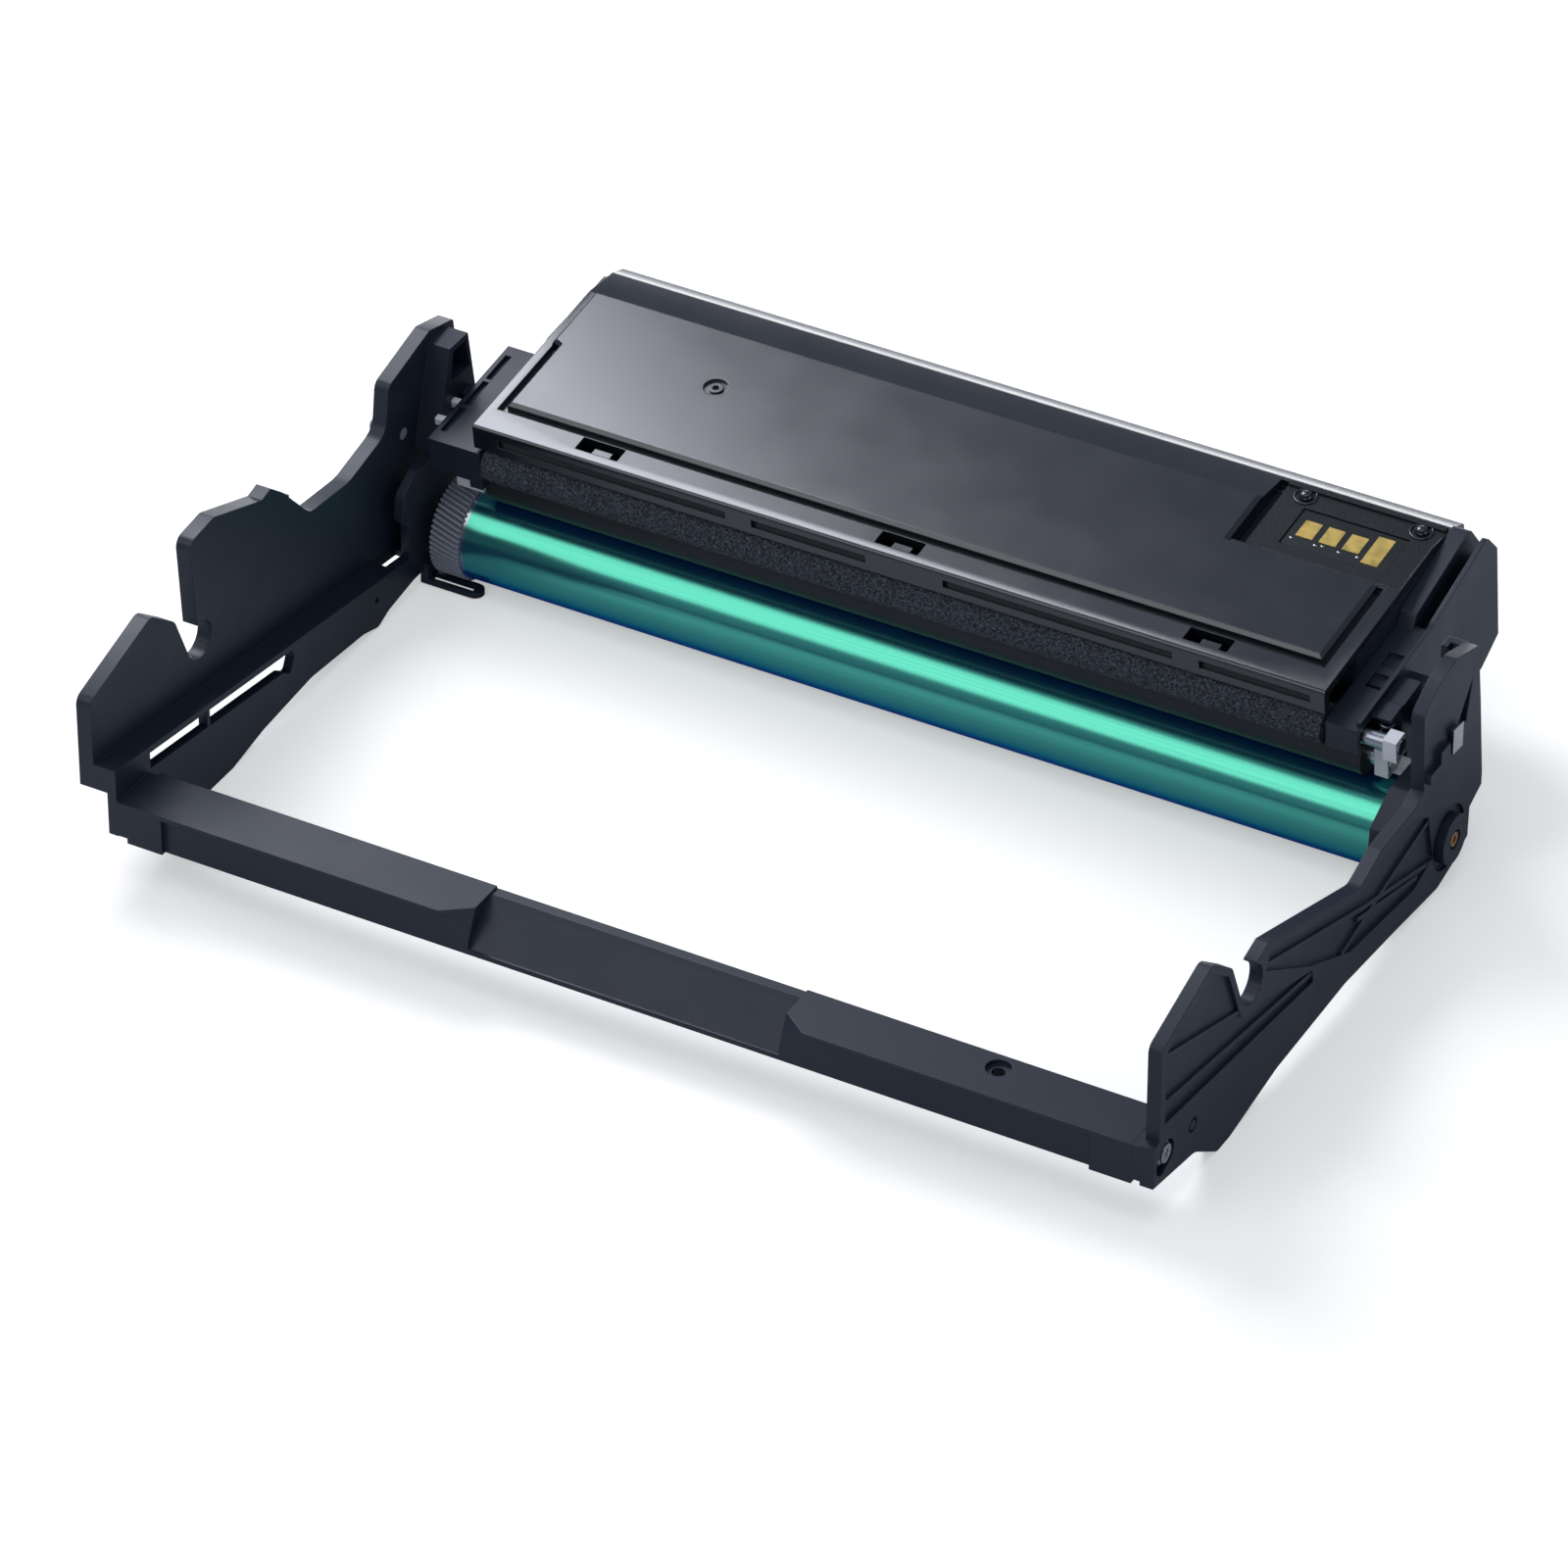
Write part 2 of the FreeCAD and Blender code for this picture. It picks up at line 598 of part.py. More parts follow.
# Front cross bar
bar_left = wall_inner + 2.5
bar_right = foot_inner
bar = block(bar_left, bar_right, front, front + bar_depth, bar_bottom, bar_top)
bar_hollow = block(bar_left + 4.0, bar_right - 4.0, front + bar_wall + bar_set_back,
                   front + bar_depth - bar_wall, bar_bottom - 1, bar_top - bar_wall)
bar = bar.cut(bar_hollow)
set_back = block(bar_left + bar_end_block, bar_right - bar_end_block - 1.0, front - 1,
                 front + bar_set_back, bar_bottom - 1, bar_top - 1.2)
bar = bar.cut(set_back)
grip_left = drum_start + grip_start
grip_right = grip_left + grip_length
for x in (bar_left + 40.0, grip_left - 12.0, grip_right + 12.0, bar_right - 28.0):
    bar = bar.fuse(block(x - 1.0, x + 1.0, front + bar_set_back + 0.5, front + bar_depth - 0.5,
                         bar_bottom + 1.0, bar_top - 1.0))
grip_tub = block(grip_left - 2.0, grip_right + 2.0, front + bar_set_back, front + bar_depth,
                 bar_bottom, bar_top)
bar = bar.fuse(grip_tub)
grip_rim = bar_top - grip_rim_drop
grip_scoop = [
    (front - 1, bar_bottom + grip_lip, 0),
    (front + bar_set_back + 0.5, bar_bottom + grip_lip, 0),
    (front + 11.0, grip_rim - 0.9, 1.0),
    (front + 12.4, grip_rim, 0),
    (front + bar_depth + 1, grip_rim, 0),
    (front + bar_depth + 1, bar_top + 1, 0),
    (front - 1, bar_top + 1, 0),
]
bar = bar.cut(slab(grip_scoop, grip_left, grip_right))
grip_under = [
    (front + bar_set_back + 0.5 + 2 * grip_wall, bar_bottom - 1, 0),
    (front + bar_depth - grip_wall, grip_rim - 3.0 * grip_wall / 2, 0),
    (front + bar_depth - grip_wall, bar_bottom - 1, 0),
]
bar = bar.cut(slab(grip_under, grip_left, grip_right))


def bevel(x_edge, x_out):
    """Triangular facet where the front face turns into the finger recess."""
    top_out = Vector(x_out, front - 0.01, bar_top + 0.01)
    top_in = Vector(x_edge, front + 5.2, bar_top + 0.01)
    low = Vector(x_edge, front - 0.01, bar_bottom)
    corner = Vector(x_edge, front - 0.01, bar_top + 0.01)
    faces = [
        Part.Face(Part.makePolygon([top_out, top_in, corner, top_out])),
        Part.Face(Part.makePolygon([top_out, low, top_in, top_out])),
        Part.Face(Part.makePolygon([top_out, corner, low, top_out])),
        Part.Face(Part.makePolygon([top_in, low, corner, top_in])),
    ]
    solid = Part.Solid(Part.Shell(faces))
    solid.fixTolerance(1e-6)
    return solid


bar = bar.cut(bevel(grip_left, grip_left - grip_bevel))
bar = bar.cut(bevel(grip_right, grip_right + grip_bevel))
bar_hole_x = drum_end - 34.6
bar_hole_y = front + 10.4
bar = bar.cut(post(bar_hole_x, bar_hole_y, bar_top - 1.2, bar_top + 1, 3.1))
bar = bar.cut(Part.makeCylinder(1.6, 5.0, Vector(bar_hole_x, bar_hole_y, bar_top - 4)))
bar = bar.cut(prism(bar_left - 1, bar_left + 5, bar_screw_y, bar_screw_z, 1.35, 12))
bar = bar.cut(prism(bar_right - 5, bar_right + 1, bar_screw_y, bar_screw_z, 1.35, 12))
save("front_cross_bar", on_arms(bar.removeSplitter()))


def pan_screw(x, y, z, head_radius, head_height, shank_radius, length, side):
    """Pan-head screw along X whose head seat is at x; side is +1 if the head is to the right."""
    head = prism(0, head_height * 0.6, 0, 0, head_radius, 18)
    crown = prism(head_height * 0.5, head_height, 0, 0, head_radius * 0.8, 18)
    socket = prism(head_height * 0.6, head_height + 1, 0, 0, head_radius * 0.4, 6)
    screw = joined(head, crown, prism(-length, 0.2, 0, 0, shank_radius, 10)).cut(socket)
    if side < 0:
        screw.rotate(Vector(0, 0, 0), Vector(0, 0, 1), 180)
    screw.translate(Vector(x, y, z))
    return screw


bar_screws = Part.makeCompound([
    pan_screw(right_face - 2.0, bar_screw_y, bar_screw_z, 3.0, 1.9, 1.3, 8.0, 1),
    pan_screw(wall_outer, bar_screw_y, bar_screw_z, 3.0, 1.9, 1.3, 8.0, -1),
])
save("bar_screws", on_arms(bar_screws))

# Drum, its gear and the fixed shaft
shaft_left = plate_inner - 1.5
shaft = rod(shaft_left, right_face + 0.1, 0, drum_height, shaft_radius)
shaft = shaft.cut(prism(right_face - 8, right_face + 1, 0, drum_height, 1.25, 12))
save("drum_shaft", on_arms(shaft))
shaft_end = right_face + 0.1
save("shaft_screw", on_arms(pan_screw(shaft_end, 0, drum_height, 2.4, 1.5, 1.2, 6.0, 1)))

tube = rod(drum_start, drum_end, 0, drum_height, drum_radius)
tube = tube.cut(rod(drum_start - 1, drum_end + 1, 0, drum_height, drum_radius - drum_wall))
save("drum_tube", on_arms(tube))


def gear_ring(x, turn):
    """Tooth outline of the drum gear at one X, turned by some degrees."""
    points = []
    step = 2 * math.pi / gear_teeth
    for tooth in range(gear_teeth):
        middle = tooth * step + math.radians(turn)
        for share, radius in ((-0.5, gear_root_radius), (-0.16, gear_tip_radius), (0.16, gear_tip_radius)):
            angle = middle + share * step
            points.append(Vector(x, radius * math.cos(angle), drum_height + radius * math.sin(angle)))
    return points


gear_rings = []
for i in range(gear_steps + 1):
    share = i / gear_steps
    gear_rings.append(gear_ring(gear_start + gear_width * share, gear_twist * share))
gear_faces = []
for ring in (gear_rings[0], gear_rings[-1]):
    gear_faces.append(Part.Face(Part.makePolygon(ring + ring[:1])))
for near, far in zip(gear_rings, gear_rings[1:]):
    for j in range(len(near)):
        k = (j + 1) % len(near)
        gear_faces.append(Part.Face(Part.makePolygon([near[j], near[k], far[k], near[j]])))
        gear_faces.append(Part.Face(Part.makePolygon([near[j], far[k], far[j], near[j]])))
gear = Part.Solid(Part.makeShell(gear_faces))
if gear.Volume < 0:
    gear.reverse()
gear_plug = rod(drum_start - 0.5, drum_start + 9.0, 0, drum_height, drum_radius - drum_wall)
gear_plug = gear_plug.cut(prism(drum_start + 1.5, drum_start + 10, 0, drum_height, drum_radius - drum_wall - 1.6, 24))
gear_hub = prism(gear_start, drum_start + 9.0, 0, drum_height, shaft_radius + 2.2, 24)
gear_dish = prism(gear_start - 1, gear_start + 3.0, 0, drum_height, gear_root_radius - 1.6, 24)
gear = gear.cut(gear_dish).fuse([gear_plug, gear_hub])
gear = gear.cut(rod(gear_start - 1, drum_start + 10, 0, drum_height, shaft_radius + shaft_play))
save("drum_gear", on_arms(gear.removeSplitter()))

flange = rod(drum_end - 9.0, drum_end, 0, drum_height, drum_radius - drum_wall)
flange = flange.cut(prism(drum_end - 10, drum_end - 2.0, 0, drum_height, drum_radius - drum_wall - 1.6, 24))
flange = flange.fuse(prism(drum_end - 9.0, drum_end + 0.5, 0, drum_height, shaft_radius + 2.2, 24))
flange = flange.cut(rod(drum_end - 10, drum_end + 1, 0, drum_height, shaft_radius + shaft_play))
save("drum_flange", on_arms(flange.removeSplitter()))

# Charge roller and its cleaning roller, in housing axes
charge_left = drum_start + 5.0
charge_right = drum_end - 10.4
foam_left = drum_start + 7.0
foam_right = drum_end - 18.4
left_bush_x = drum_start - 1.2
right_bush_x = drum_end - 8.0
right_foam_bush_x = drum_end - 3.4
core = rod(left_bush_x - 0.6, right_bush_x + bush_length + 0.6, charge_y, charge_z, charge_core_radius)
save("charge_roller_core", on_housing(core))
sleeve = rod(charge_left, charge_right, charge_y, charge_z, charge_radius)
sleeve = sleeve.cut(rod(charge_left - 1, charge_right + 1, charge_y, charge_z, charge_core_radius))
save("charge_roller_sleeve", on_housing(sleeve))
foam_core = rod(left_bush_x - 0.6, right_foam_bush_x + bush_length + 0.4, foam_y, foam_z, foam_core_radius)
save("cleaning_roller_core", on_housing(foam_core))
foam = rod(foam_left, foam_right, foam_y, foam_z, foam_radius)
foam = foam.cut(rod(foam_left - 1, foam_right + 1, foam_y, foam_z, foam_core_radius))
save("cleaning_roller_sponge", on_housing(foam))

bush_low = charge_z - bush_height / 2
bush_high = charge_z + bush_height / 2


def bush(x, foot):
    """Sliding bush that the charge roller's core turns in."""
    body = block(x, x + bush_length, charge_y - bush_width / 2, charge_y + bush_width / 2, bush_low, bush_high)
    if not foot:
        body = body.fuse(block(x - 3.8, x + 0.5, charge_y - bush_width / 2, charge_y + bush_width / 2,
                               bush_low, bush_high - 2.4))
    if foot:
        body = body.fuse(block(x + bush_length - 0.5, x + bush_length + 3.6, charge_y - 1.0,
                               charge_y + bush_width / 2, bush_low, bush_low + 2.2))
    spigot = post(x + bush_length / 2, charge_y, bush_high - 0.5, bush_high + 1.6, spring_radius - spring_wire - 0.2)
    return body.fuse(spigot).cut(rod(x - 5, x + bush_length + 5, charge_y, charge_z,
                                     charge_core_radius + shaft_play)).removeSplitter()


left_bush = bush(left_bush_x, False)
right_bush = bush(right_bush_x, True)
save("charge_bush_left", on_housing(left_bush))
save("charge_bush_right", on_housing(right_bush))

guide_top = shelf_height - shelf_wall
spring_low = bush_high
spring_high = guide_top
foam_bush_low = foam_z - foam_core_radius - 1.6
foam_bush_half = 2.3


def cleaning_bush(x):
    """Fixed grey bush round the cleaning roller's core."""
    body = block(x, x + bush_length, foam_y - foam_bush_half, foam_y + foam_bush_half, foam_bush_low, guide_top)
    return body.cut(rod(x - 1, x + bush_length + 1, foam_y, foam_z, foam_core_radius + shaft_play))


save("cleaning_bush_left", on_housing(cleaning_bush(left_bush_x)))
save("cleaning_bush_right", on_housing(cleaning_bush(right_foam_bush_x)))


def spring(x):
    """Pressure spring between the charge bush and the bush above it, as a faceted coil."""
    sides = 5
    steps = 8 * spring_turns
    middle = spring_radius - spring_wire / 2
    climb = spring_high - spring_low - spring_wire
    rings = []
    for i in range(steps + 1):
        turn = 2 * math.pi * spring_turns * i / steps
        height = spring_low + spring_wire / 2 + climb * i / steps
        ring = []
        for j in range(sides):
            angle = 2 * math.pi * j / sides
            reach = middle + spring_wire / 2 * math.cos(angle)
            ring.append(Vector(x + bush_length / 2 + reach * math.cos(turn),
                               charge_y + reach * math.sin(turn),
                               height + spring_wire / 2 * math.sin(angle)))
        rings.append(ring)
    faces = [Part.Face(Part.makePolygon(rings[0] + rings[0][:1])),
             Part.Face(Part.makePolygon(rings[-1] + rings[-1][:1]))]
    for low, high in zip(rings, rings[1:]):
        for j in range(sides):
            k = (j + 1) % sides
            faces.append(Part.Face(Part.makePolygon([low[j], low[k], high[k], low[j]])))
            faces.append(Part.Face(Part.makePolygon([low[j], high[k], high[j], low[j]])))
    coil = Part.Solid(Part.makeShell(faces))
    if coil.Volume < 0:
        coil.reverse()
    return coil


save("bush_springs", on_housing(Part.makeCompound([spring(left_bush_x), spring(right_bush_x)])))

# Waste housing under the lid, in housing axes
roof_rear = lid_top - roof_break_drop
roof_edge = lid_top - rear_edge_drop
under_lid = lid_top - lid_wall
skirt_low = roof_edge - lid_skirt
housing_skin = [
    (housing_front, under_lid, 0),
    (housing_front, blade_shelf, 0),
    (blade_wall, blade_shelf, 0),
    (blade_wall, belly_front, 1.0),
    (belly_mid_y, belly_mid, 2.0),
    (rear_wall, rear_low, 1.0),
    (rear_wall, skirt_low - end_gap, 0),
    (rear_wall - lid_wall, skirt_low - end_gap, 0),
    (rear_wall - lid_wall, roof_edge - 1.6, 0),
    (roof_break - 0.6, roof_rear - lid_wall - 0.2, 0),
    (panel_rear, under_lid, 0),
]
housing_room = [
    (housing_front + housing_wall, under_lid - housing_wall, 0),
    (housing_front + housing_wall, blade_shelf + housing_wall, 0),
    (blade_wall + housing_wall, blade_shelf + housing_wall, 0),
    (blade_wall + housing_wall, belly_front + housing_wall + 0.6, 1.0),
    (belly_mid_y, belly_mid + housing_wall + 0.4, 2.0),
    (rear_wall - lid_wall - housing_wall, rear_low + housing_wall + 1.0, 1.0),
    (rear_wall - lid_wall - housing_wall, roof_edge - 4.2, 0),
    (roof_break - 2.0, roof_rear - lid_wall - housing_wall - 0.6, 0),
    (panel_rear, under_lid - housing_wall, 0),
]
housing = slab(housing_skin, lid_left, lid_right)
housing = housing.cut(slab(housing_room, lid_left + housing_wall, lid_right - housing_wall))
holder_low = chip_floor - chip_holder_depth
chip_x0 = drum_end - chip_before_end
chip_x1 = chip_x0 + chip_width
housing = housing.cut(block(chip_x0 - chip_channel, chip_x1, chip_front, chip_rear, holder_low, lid_top))
mouth = block(lid_left + 6, lid_right - 6, blade_wall - 1, blade_wall + housing_wall + 1, -1.5, 8.5)
housing = housing.cut(mouth)


def table_height(y):
    """Table plane seen from the leaning housing axes."""
    return -drum_height / math.cos(tilt) - y * math.tan(tilt)


guide_ribs = 9
guide_pitch = (lid_length - 24.0) / (guide_ribs - 1)
for i in range(guide_ribs):
    x = lid_left + 12.0 + i * guide_pitch
    lift = 0.0 if i in (1, guide_ribs - 2) else 1.6
    rib = slab([
        (19.0, belly_front + 1.0, 0),
        (19.6, belly_front - 2.6, 1.5),
        (36.0, table_height(36.0) + lift, 2.0),
        (48.0, table_height(48.0) + lift, 2.0),
        (58.0, belly_mid - 7.0, 3.0),
        (belly_mid_y + 4.0, belly_mid + 2.2, 0),
    ], x - 1.0, x + 1.0)
    housing = housing.fuse(rib)
bracket_left = lid_left + 3.0
bracket_right = lid_right - 3.0
blade_screw_x = (bracket_left + 10.0, bracket_right - 10.0)
blade_screw_z = 18.4
for x in blade_screw_x:
    housing = housing.cut(screw_pilot(x, blade_wall - 2.0, blade_wall + 4.0, blade_screw_z, 1.25))
save("waste_housing", on_housing(housing.removeSplitter()))

# Lid with its raised panel, snap windows and chip bay
lid_skin = [
    (lid_front, lid_top - apron_drop, 0),
    (lid_front, lid_top, 1.0),
    (panel_rear, lid_top, 1.5),
    (roof_break, roof_rear, 1.5),
    (rear_wall, roof_edge, 1.5),
    (rear_wall, skirt_low, 0),
    (rear_wall - lid_wall, skirt_low, 0),
    (rear_wall - lid_wall, roof_edge - 1.5, 0),
    (roof_break - 0.6, roof_rear - lid_wall - 0.1, 0),
    (panel_rear, under_lid, 0),
    (lid_front + lid_wall, under_lid, 0),
    (lid_front + lid_wall, lid_top - apron_drop, 0),
]
lid = slab(lid_skin, lid_left, lid_right)


def prism_z(points, z0, z1):
    """Plan outline of (x, y) points pushed up from z0 to z1."""
    ring = [Vector(x, y, z0) for x, y in points]
    ring.append(ring[0])
    return Part.Face(Part.makePolygon(ring)).extrude(Vector(0, 0, z1 - z0))


panel_plan = [
    (lid_left + panel_edge_left, panel_front),
    (lid_right - panel_edge_right, panel_front),
    (lid_right - panel_edge_right, chip_front - 1.2),
    (chip_x0 - chip_channel, chip_front - 1.2),
    (chip_x0 - chip_channel, panel_rear - 0.4),
    (lid_left + 2.0, panel_rear - 0.4),
    (lid_left + 2.0, 29.0),
    (lid_left + panel_edge_left, 28.0),
]
moat_left = lid_left + panel_edge_left - moat_width
moat_right = lid_right - panel_edge_right + moat_width
moat_plan = [
    (moat_left, panel_front - moat_width),
    (moat_right, panel_front - moat_width),
    (moat_right, chip_front - 1.2),
    (lid_left + 2.0, chip_front - 1.2),
    (lid_left + 2.0, 29.0),
    (moat_left, 28.0),
]
lid = lid.cut(prism_z(moat_plan, lid_top - moat_depth, lid_top + 1))
panel = prism_z(panel_plan, lid_top - moat_depth - 0.2, lid_top + panel_rise)
panel_edges = [e for e in panel.Edges if min(v.Z for v in e.Vertexes) > lid_top]
panel = panel.makeChamfer(0.9, panel_edges)
lid = lid.fuse(panel)
chip_bay = block(chip_x0 - chip_channel, chip_x1, chip_front, chip_rear, holder_low, lid_top + 3)
lid = lid.cut(chip_bay)
snap_middle = (lid_left + lid_right) / 2
snap_spread = lid_length / 2 - 32.8
snap_places = (snap_middle - snap_spread, snap_middle, snap_middle + snap_spread)
snap_length = 11.6
for x in snap_places:
    half = snap_length / 2
    hole = block(x - half, x + half, -3.7, 0.9, under_lid - 1, lid_top + 1)
    tongue = block(x - half + 4.0, x + half - 2.6, -4.2, -0.9, under_lid, lid_top - 0.8)
    lid = lid.cut(hole).fuse(tongue)
slot_shares = ((0.03, 0.304), (0.335, 0.47), (0.561, 0.826), (0.857, 0.983))
for start, end in slot_shares:
    lid = lid.cut(block(lid_left + start * lid_length, lid_left + end * lid_length, lid_front - 1, lid_front + 1.2,
                        lid_top - 4.6, lid_top - 2.4))
lid_hole_x = lid_left + 47.3
lid_hole_y = 29.8
lid = lid.cut(post(lid_hole_x, lid_hole_y, lid_top + 0.5, lid_top + 3, 3.1))
lid = lid.fuse(post(lid_hole_x, lid_hole_y, lid_top, lid_top + 1.0, 1.9))
lid = lid.cut(post(lid_hole_x, lid_hole_y, lid_top + 0.2, lid_top + 3, 0.8))
save("housing_lid", on_housing(lid.removeSplitter()))

# Chip holder, board and contact pads
holder = block(chip_x0 + 0.2, chip_x1 - 0.2, chip_front + 0.2, chip_rear - 0.2, holder_low, chip_floor)
board_x0 = chip_x0 + 7.6
board_x1 = board_x0 + 27.6
board_y0 = 39.0
board_y1 = 52.4
well = block(board_x0 - 0.2, board_x1 + 0.2, board_y0 - 0.2, board_y1 + 0.2, chip_floor - 1.4, chip_floor + 1)
holder = holder.cut(well)
curb_rear = block(chip_x0 + 0.2, chip_x1 - 0.2, chip_rear - 1.6, chip_rear - 0.2, chip_floor - 1, chip_floor + 0.6)
stake_y = 56.4
stake_places = (chip_x0 + 5.8, chip_x0 + 36.4)
stakes = []
for x in stake_places:
    stakes.append(post(x, stake_y, chip_floor - 1, chip_floor + 1.2, 1.5))
holder = joined(holder, curb_rear, *stakes)
save("chip_holder", on_housing(holder))
board_top = chip_floor - 0.3
board = block(board_x0, board_x1, board_y0, board_y1, chip_floor - 1.4, board_top)
save("chip_board", on_housing(board))
pads = []
for i in range(4):
    x = board_x0 + 2.1 + i * contact_pitch
    taller = 2.4 if i == 3 else 0.0
    pads.append(block(x, x + contact_width, 43.0 - taller, 43.0 + contact_height + taller * 0.8,
                      board_top, board_top + 0.12))
save("chip_contacts", on_housing(Part.makeCompound(pads)))

# End covers beside the lid
cap_left = lid_left - end_gap - left_shelf_width
cap_right = lid_right + end_gap + right_shelf_width


def end_wall(x0, x1, top_front, top_rear, hollow_from, hollow_to):
    """Wall that closes the housing's end, hollow between two X places."""
    skin = [
        (housing_front, shelf_height - 1, 0),
        (housing_front, blade_shelf, 0),
        (blade_wall, blade_shelf - 5.0, 0),
        (blade_wall, belly_front + 0.4, 0),
        (belly_mid_y, belly_mid + 0.2, 2.0),
        (rear_wall - 0.6, rear_low + 0.3, 0),
        (rear_wall - 0.6, min(skirt_low, top_rear - 1.0), 0),
        (roof_break, top_rear, 2.0),
        (shelf_depth + 3.0, top_front, 1.0),
        (shelf_depth, shelf_height - 1, 0),
    ]
    wall = slab(skin, x0, x1)
    room = slab([
        (housing_front + 7 + housing_wall, blade_shelf - 6.0, 0),
        (blade_wall + housing_wall, belly_front + 3.4, 0),
        (belly_mid_y, belly_mid + 2.8, 2.0),
        (rear_wall - 3.2, rear_low + 3.0, 0),
        (rear_wall - 3.2, rail_channel_floor - 4.0, 0),
        (shelf_depth, rail_channel_floor - 2.0, 0),
    ], hollow_from, hollow_to)
    return wall.cut(room)


def bush_guide(x):
    """Upright behind a charge bush, which slides along it."""
    return block(x - 0.4, x + bush_length + 0.4, charge_y + bush_width / 2 + 0.1, housing_front + 1,
                 bush_low, guide_top + 0.5)


shelf_front = lid_front + 0.6
left_inner = lid_left - end_gap
left_shelf = block(cap_left, left_inner, shelf_front, shelf_depth + 2.0, guide_top, shelf_height)
shelf_slot_x = cap_left + 1.3
shelf_slot_length = 9.8
shelf_slot_pitch = 10.9
for i in range(3):
    start = -3.4 + i * shelf_slot_pitch
    left_shelf = left_shelf.cut(block(shelf_slot_x, shelf_slot_x + 1.6, start, start + shelf_slot_length,
                                      shelf_height - shelf_slot_depth, shelf_height + 1))
left_end_wall = end_wall(left_inner - left_cap_wall, left_inner, 37.0, 36.0, left_inner - 1.0, left_inner + 1)
sponge_cheek_x = left_bush_x + bush_length + 0.1
sponge_cheek_end = foam_left - 1.0
sponge_cheek = block(sponge_cheek_x, sponge_cheek_end, shelf_front - 0.6, -1.0, 25.3, shelf_height)
sponge_cheek = sponge_cheek.cut(prism(left_bush_x, foam_left, foam_y, foam_z, foam_core_radius + 0.4, 16))
cover_bridge = block(wall_inner, cap_left + 1.0, 12.0, 16.0, 24.0, 31.0)
shelf_rib = block(cap_left, left_inner, 12.0, 13.6, 26.0, guide_top + 0.5)
left_cheek_y = shelf_front - cheek_front
left_cheek = block(cap_left, sponge_cheek_end, left_cheek_y, left_cheek_y + cheek_wall, 22.5, shelf_height)
left_cheek_root = block(cap_left, sponge_cheek_end, left_cheek_y, shelf_front + 0.5, guide_top, shelf_height)
sponge_tongue = block(sponge_cheek_x, sponge_cheek_end, left_cheek_y, charge_y - charge_radius - 0.5,
                      20.5, 25.8)
left_cover = joined(left_shelf, left_end_wall, bush_guide(left_bush_x), sponge_cheek, sponge_tongue, left_cheek,
                    left_cheek_root, cover_bridge, shelf_rib)
save("left_end_cover", on_housing(left_cover))

right_start = lid_right + end_gap
shelf_rim = 1.1
right_shelf = block(right_start, cap_right, shelf_front, shelf_depth + 2.0, guide_top, shelf_height)
right_shelf = right_shelf.fuse(block(cap_right - shelf_rim, cap_right, shelf_front, shelf_depth + 2.0,
                                     guide_top, shelf_height + 1.2))
for start in (7.5, 15.5):
    right_shelf = right_shelf.cut(block(right_start + 3.1, cap_right - 2.0, start, start + 5.4,
                                        guide_top - 1, shelf_height + 1))
rail = end_wall(right_start, right_start + rail_width, shelf_height + 3.0, lid_top - 1.0, right_start - 1,
                right_start + rail_width - rail_wall)
outer_rail = end_wall(cap_right - rail_wall, cap_right, 33.6, 38.0, cap_right, cap_right + 1)
channel = end_wall(right_start + 1.0, cap_right - 0.5, rail_channel_floor, rail_channel_floor,
                   right_start + 1.0, cap_right - rail_wall)
front_cheek = block(right_start + 0.4, cap_right, shelf_front - 1.6, shelf_front - 0.5, 24.5, shelf_height)
cheek_root = block(right_start + 0.4, cap_right, shelf_front - 1.6, shelf_front + 0.5, guide_top, shelf_height)
spring_roof = block(cap_right - 1.0, right_bush_x + bush_length + 0.4, charge_y - spring_radius,
                    charge_y + bush_width / 2 + 1.0, guide_top, guide_top + 0.9)
right_guide = block(charge_right + 0.5, right_bush_x + bush_length + 0.4, charge_y + bush_width / 2 + 0.1,
                    housing_front + 6, bush_low + 2.0, guide_top + 0.5)
right_bridge = block(cap_right - 1.0, right_inner, 12.0, 22.0, 20.0, 27.0)
right_cover = joined(right_shelf, rail, outer_rail, channel, front_cheek, cheek_root, spring_roof, right_guide,
                     right_bridge)
save("right_end_cover", on_housing(right_cover))

# Cleaning blade, its steel bracket, the film and the end seals
bracket_front = blade_wall - 1.3
bracket = joined(
    block(bracket_left, bracket_right, bracket_front, blade_wall - 0.05, 9.2, blade_shelf - 0.1),
    block(bracket_left, bracket_right, bracket_front - 4.6, blade_wall - 0.05, blade_shelf - 1.3, blade_shelf - 0.1),
)
for x in blade_screw_x:
    bracket = bracket.cut(screw_pilot(x, bracket_front - 1.0, blade_wall + 1.0, blade_screw_z, 1.25))
blade = slab([(12.1, 2.6, 0), (14.1, 2.6, 0), (bracket_front, 14.0, 0), (bracket_front - 2.0, 14.0, 0)],
             bracket_left + 5.0, bracket_right - 5.0)
film = slab([(12.6, -5.6, 0), (blade_wall + 2.0, belly_front - 0.2, 0), (blade_wall + 2.0, belly_front - 0.7, 0),
             (12.6, -6.1, 0)], bracket_left + 5.0, bracket_right - 5.0)
save("blade_bracket", on_housing(bracket))
save("cleaning_blade", on_housing(blade))
save("recovery_film", on_housing(film))
seals = []
for x in (bracket_left, bracket_right - 4.6):
    seal = block(x, x + 4.6, 10.0, blade_wall - 0.05, belly_front + 1.2, 9.1)
    seals.append(seal.cut(rod(x - 1, x + 6, 0, 0, drum_radius + roller_gap)))
save("end_seals", on_housing(Part.makeCompound(seals)))
bracket_screws = []
for x in blade_screw_x:
    screw = pan_screw(0, 0, 0, 2.6, 1.5, 1.2, 3.4, 1)
    screw.rotate(Vector(0, 0, 0), Vector(0, 0, 1), -90)
    screw.translate(Vector(x, bracket_front, blade_screw_z))
    bracket_screws.append(screw)
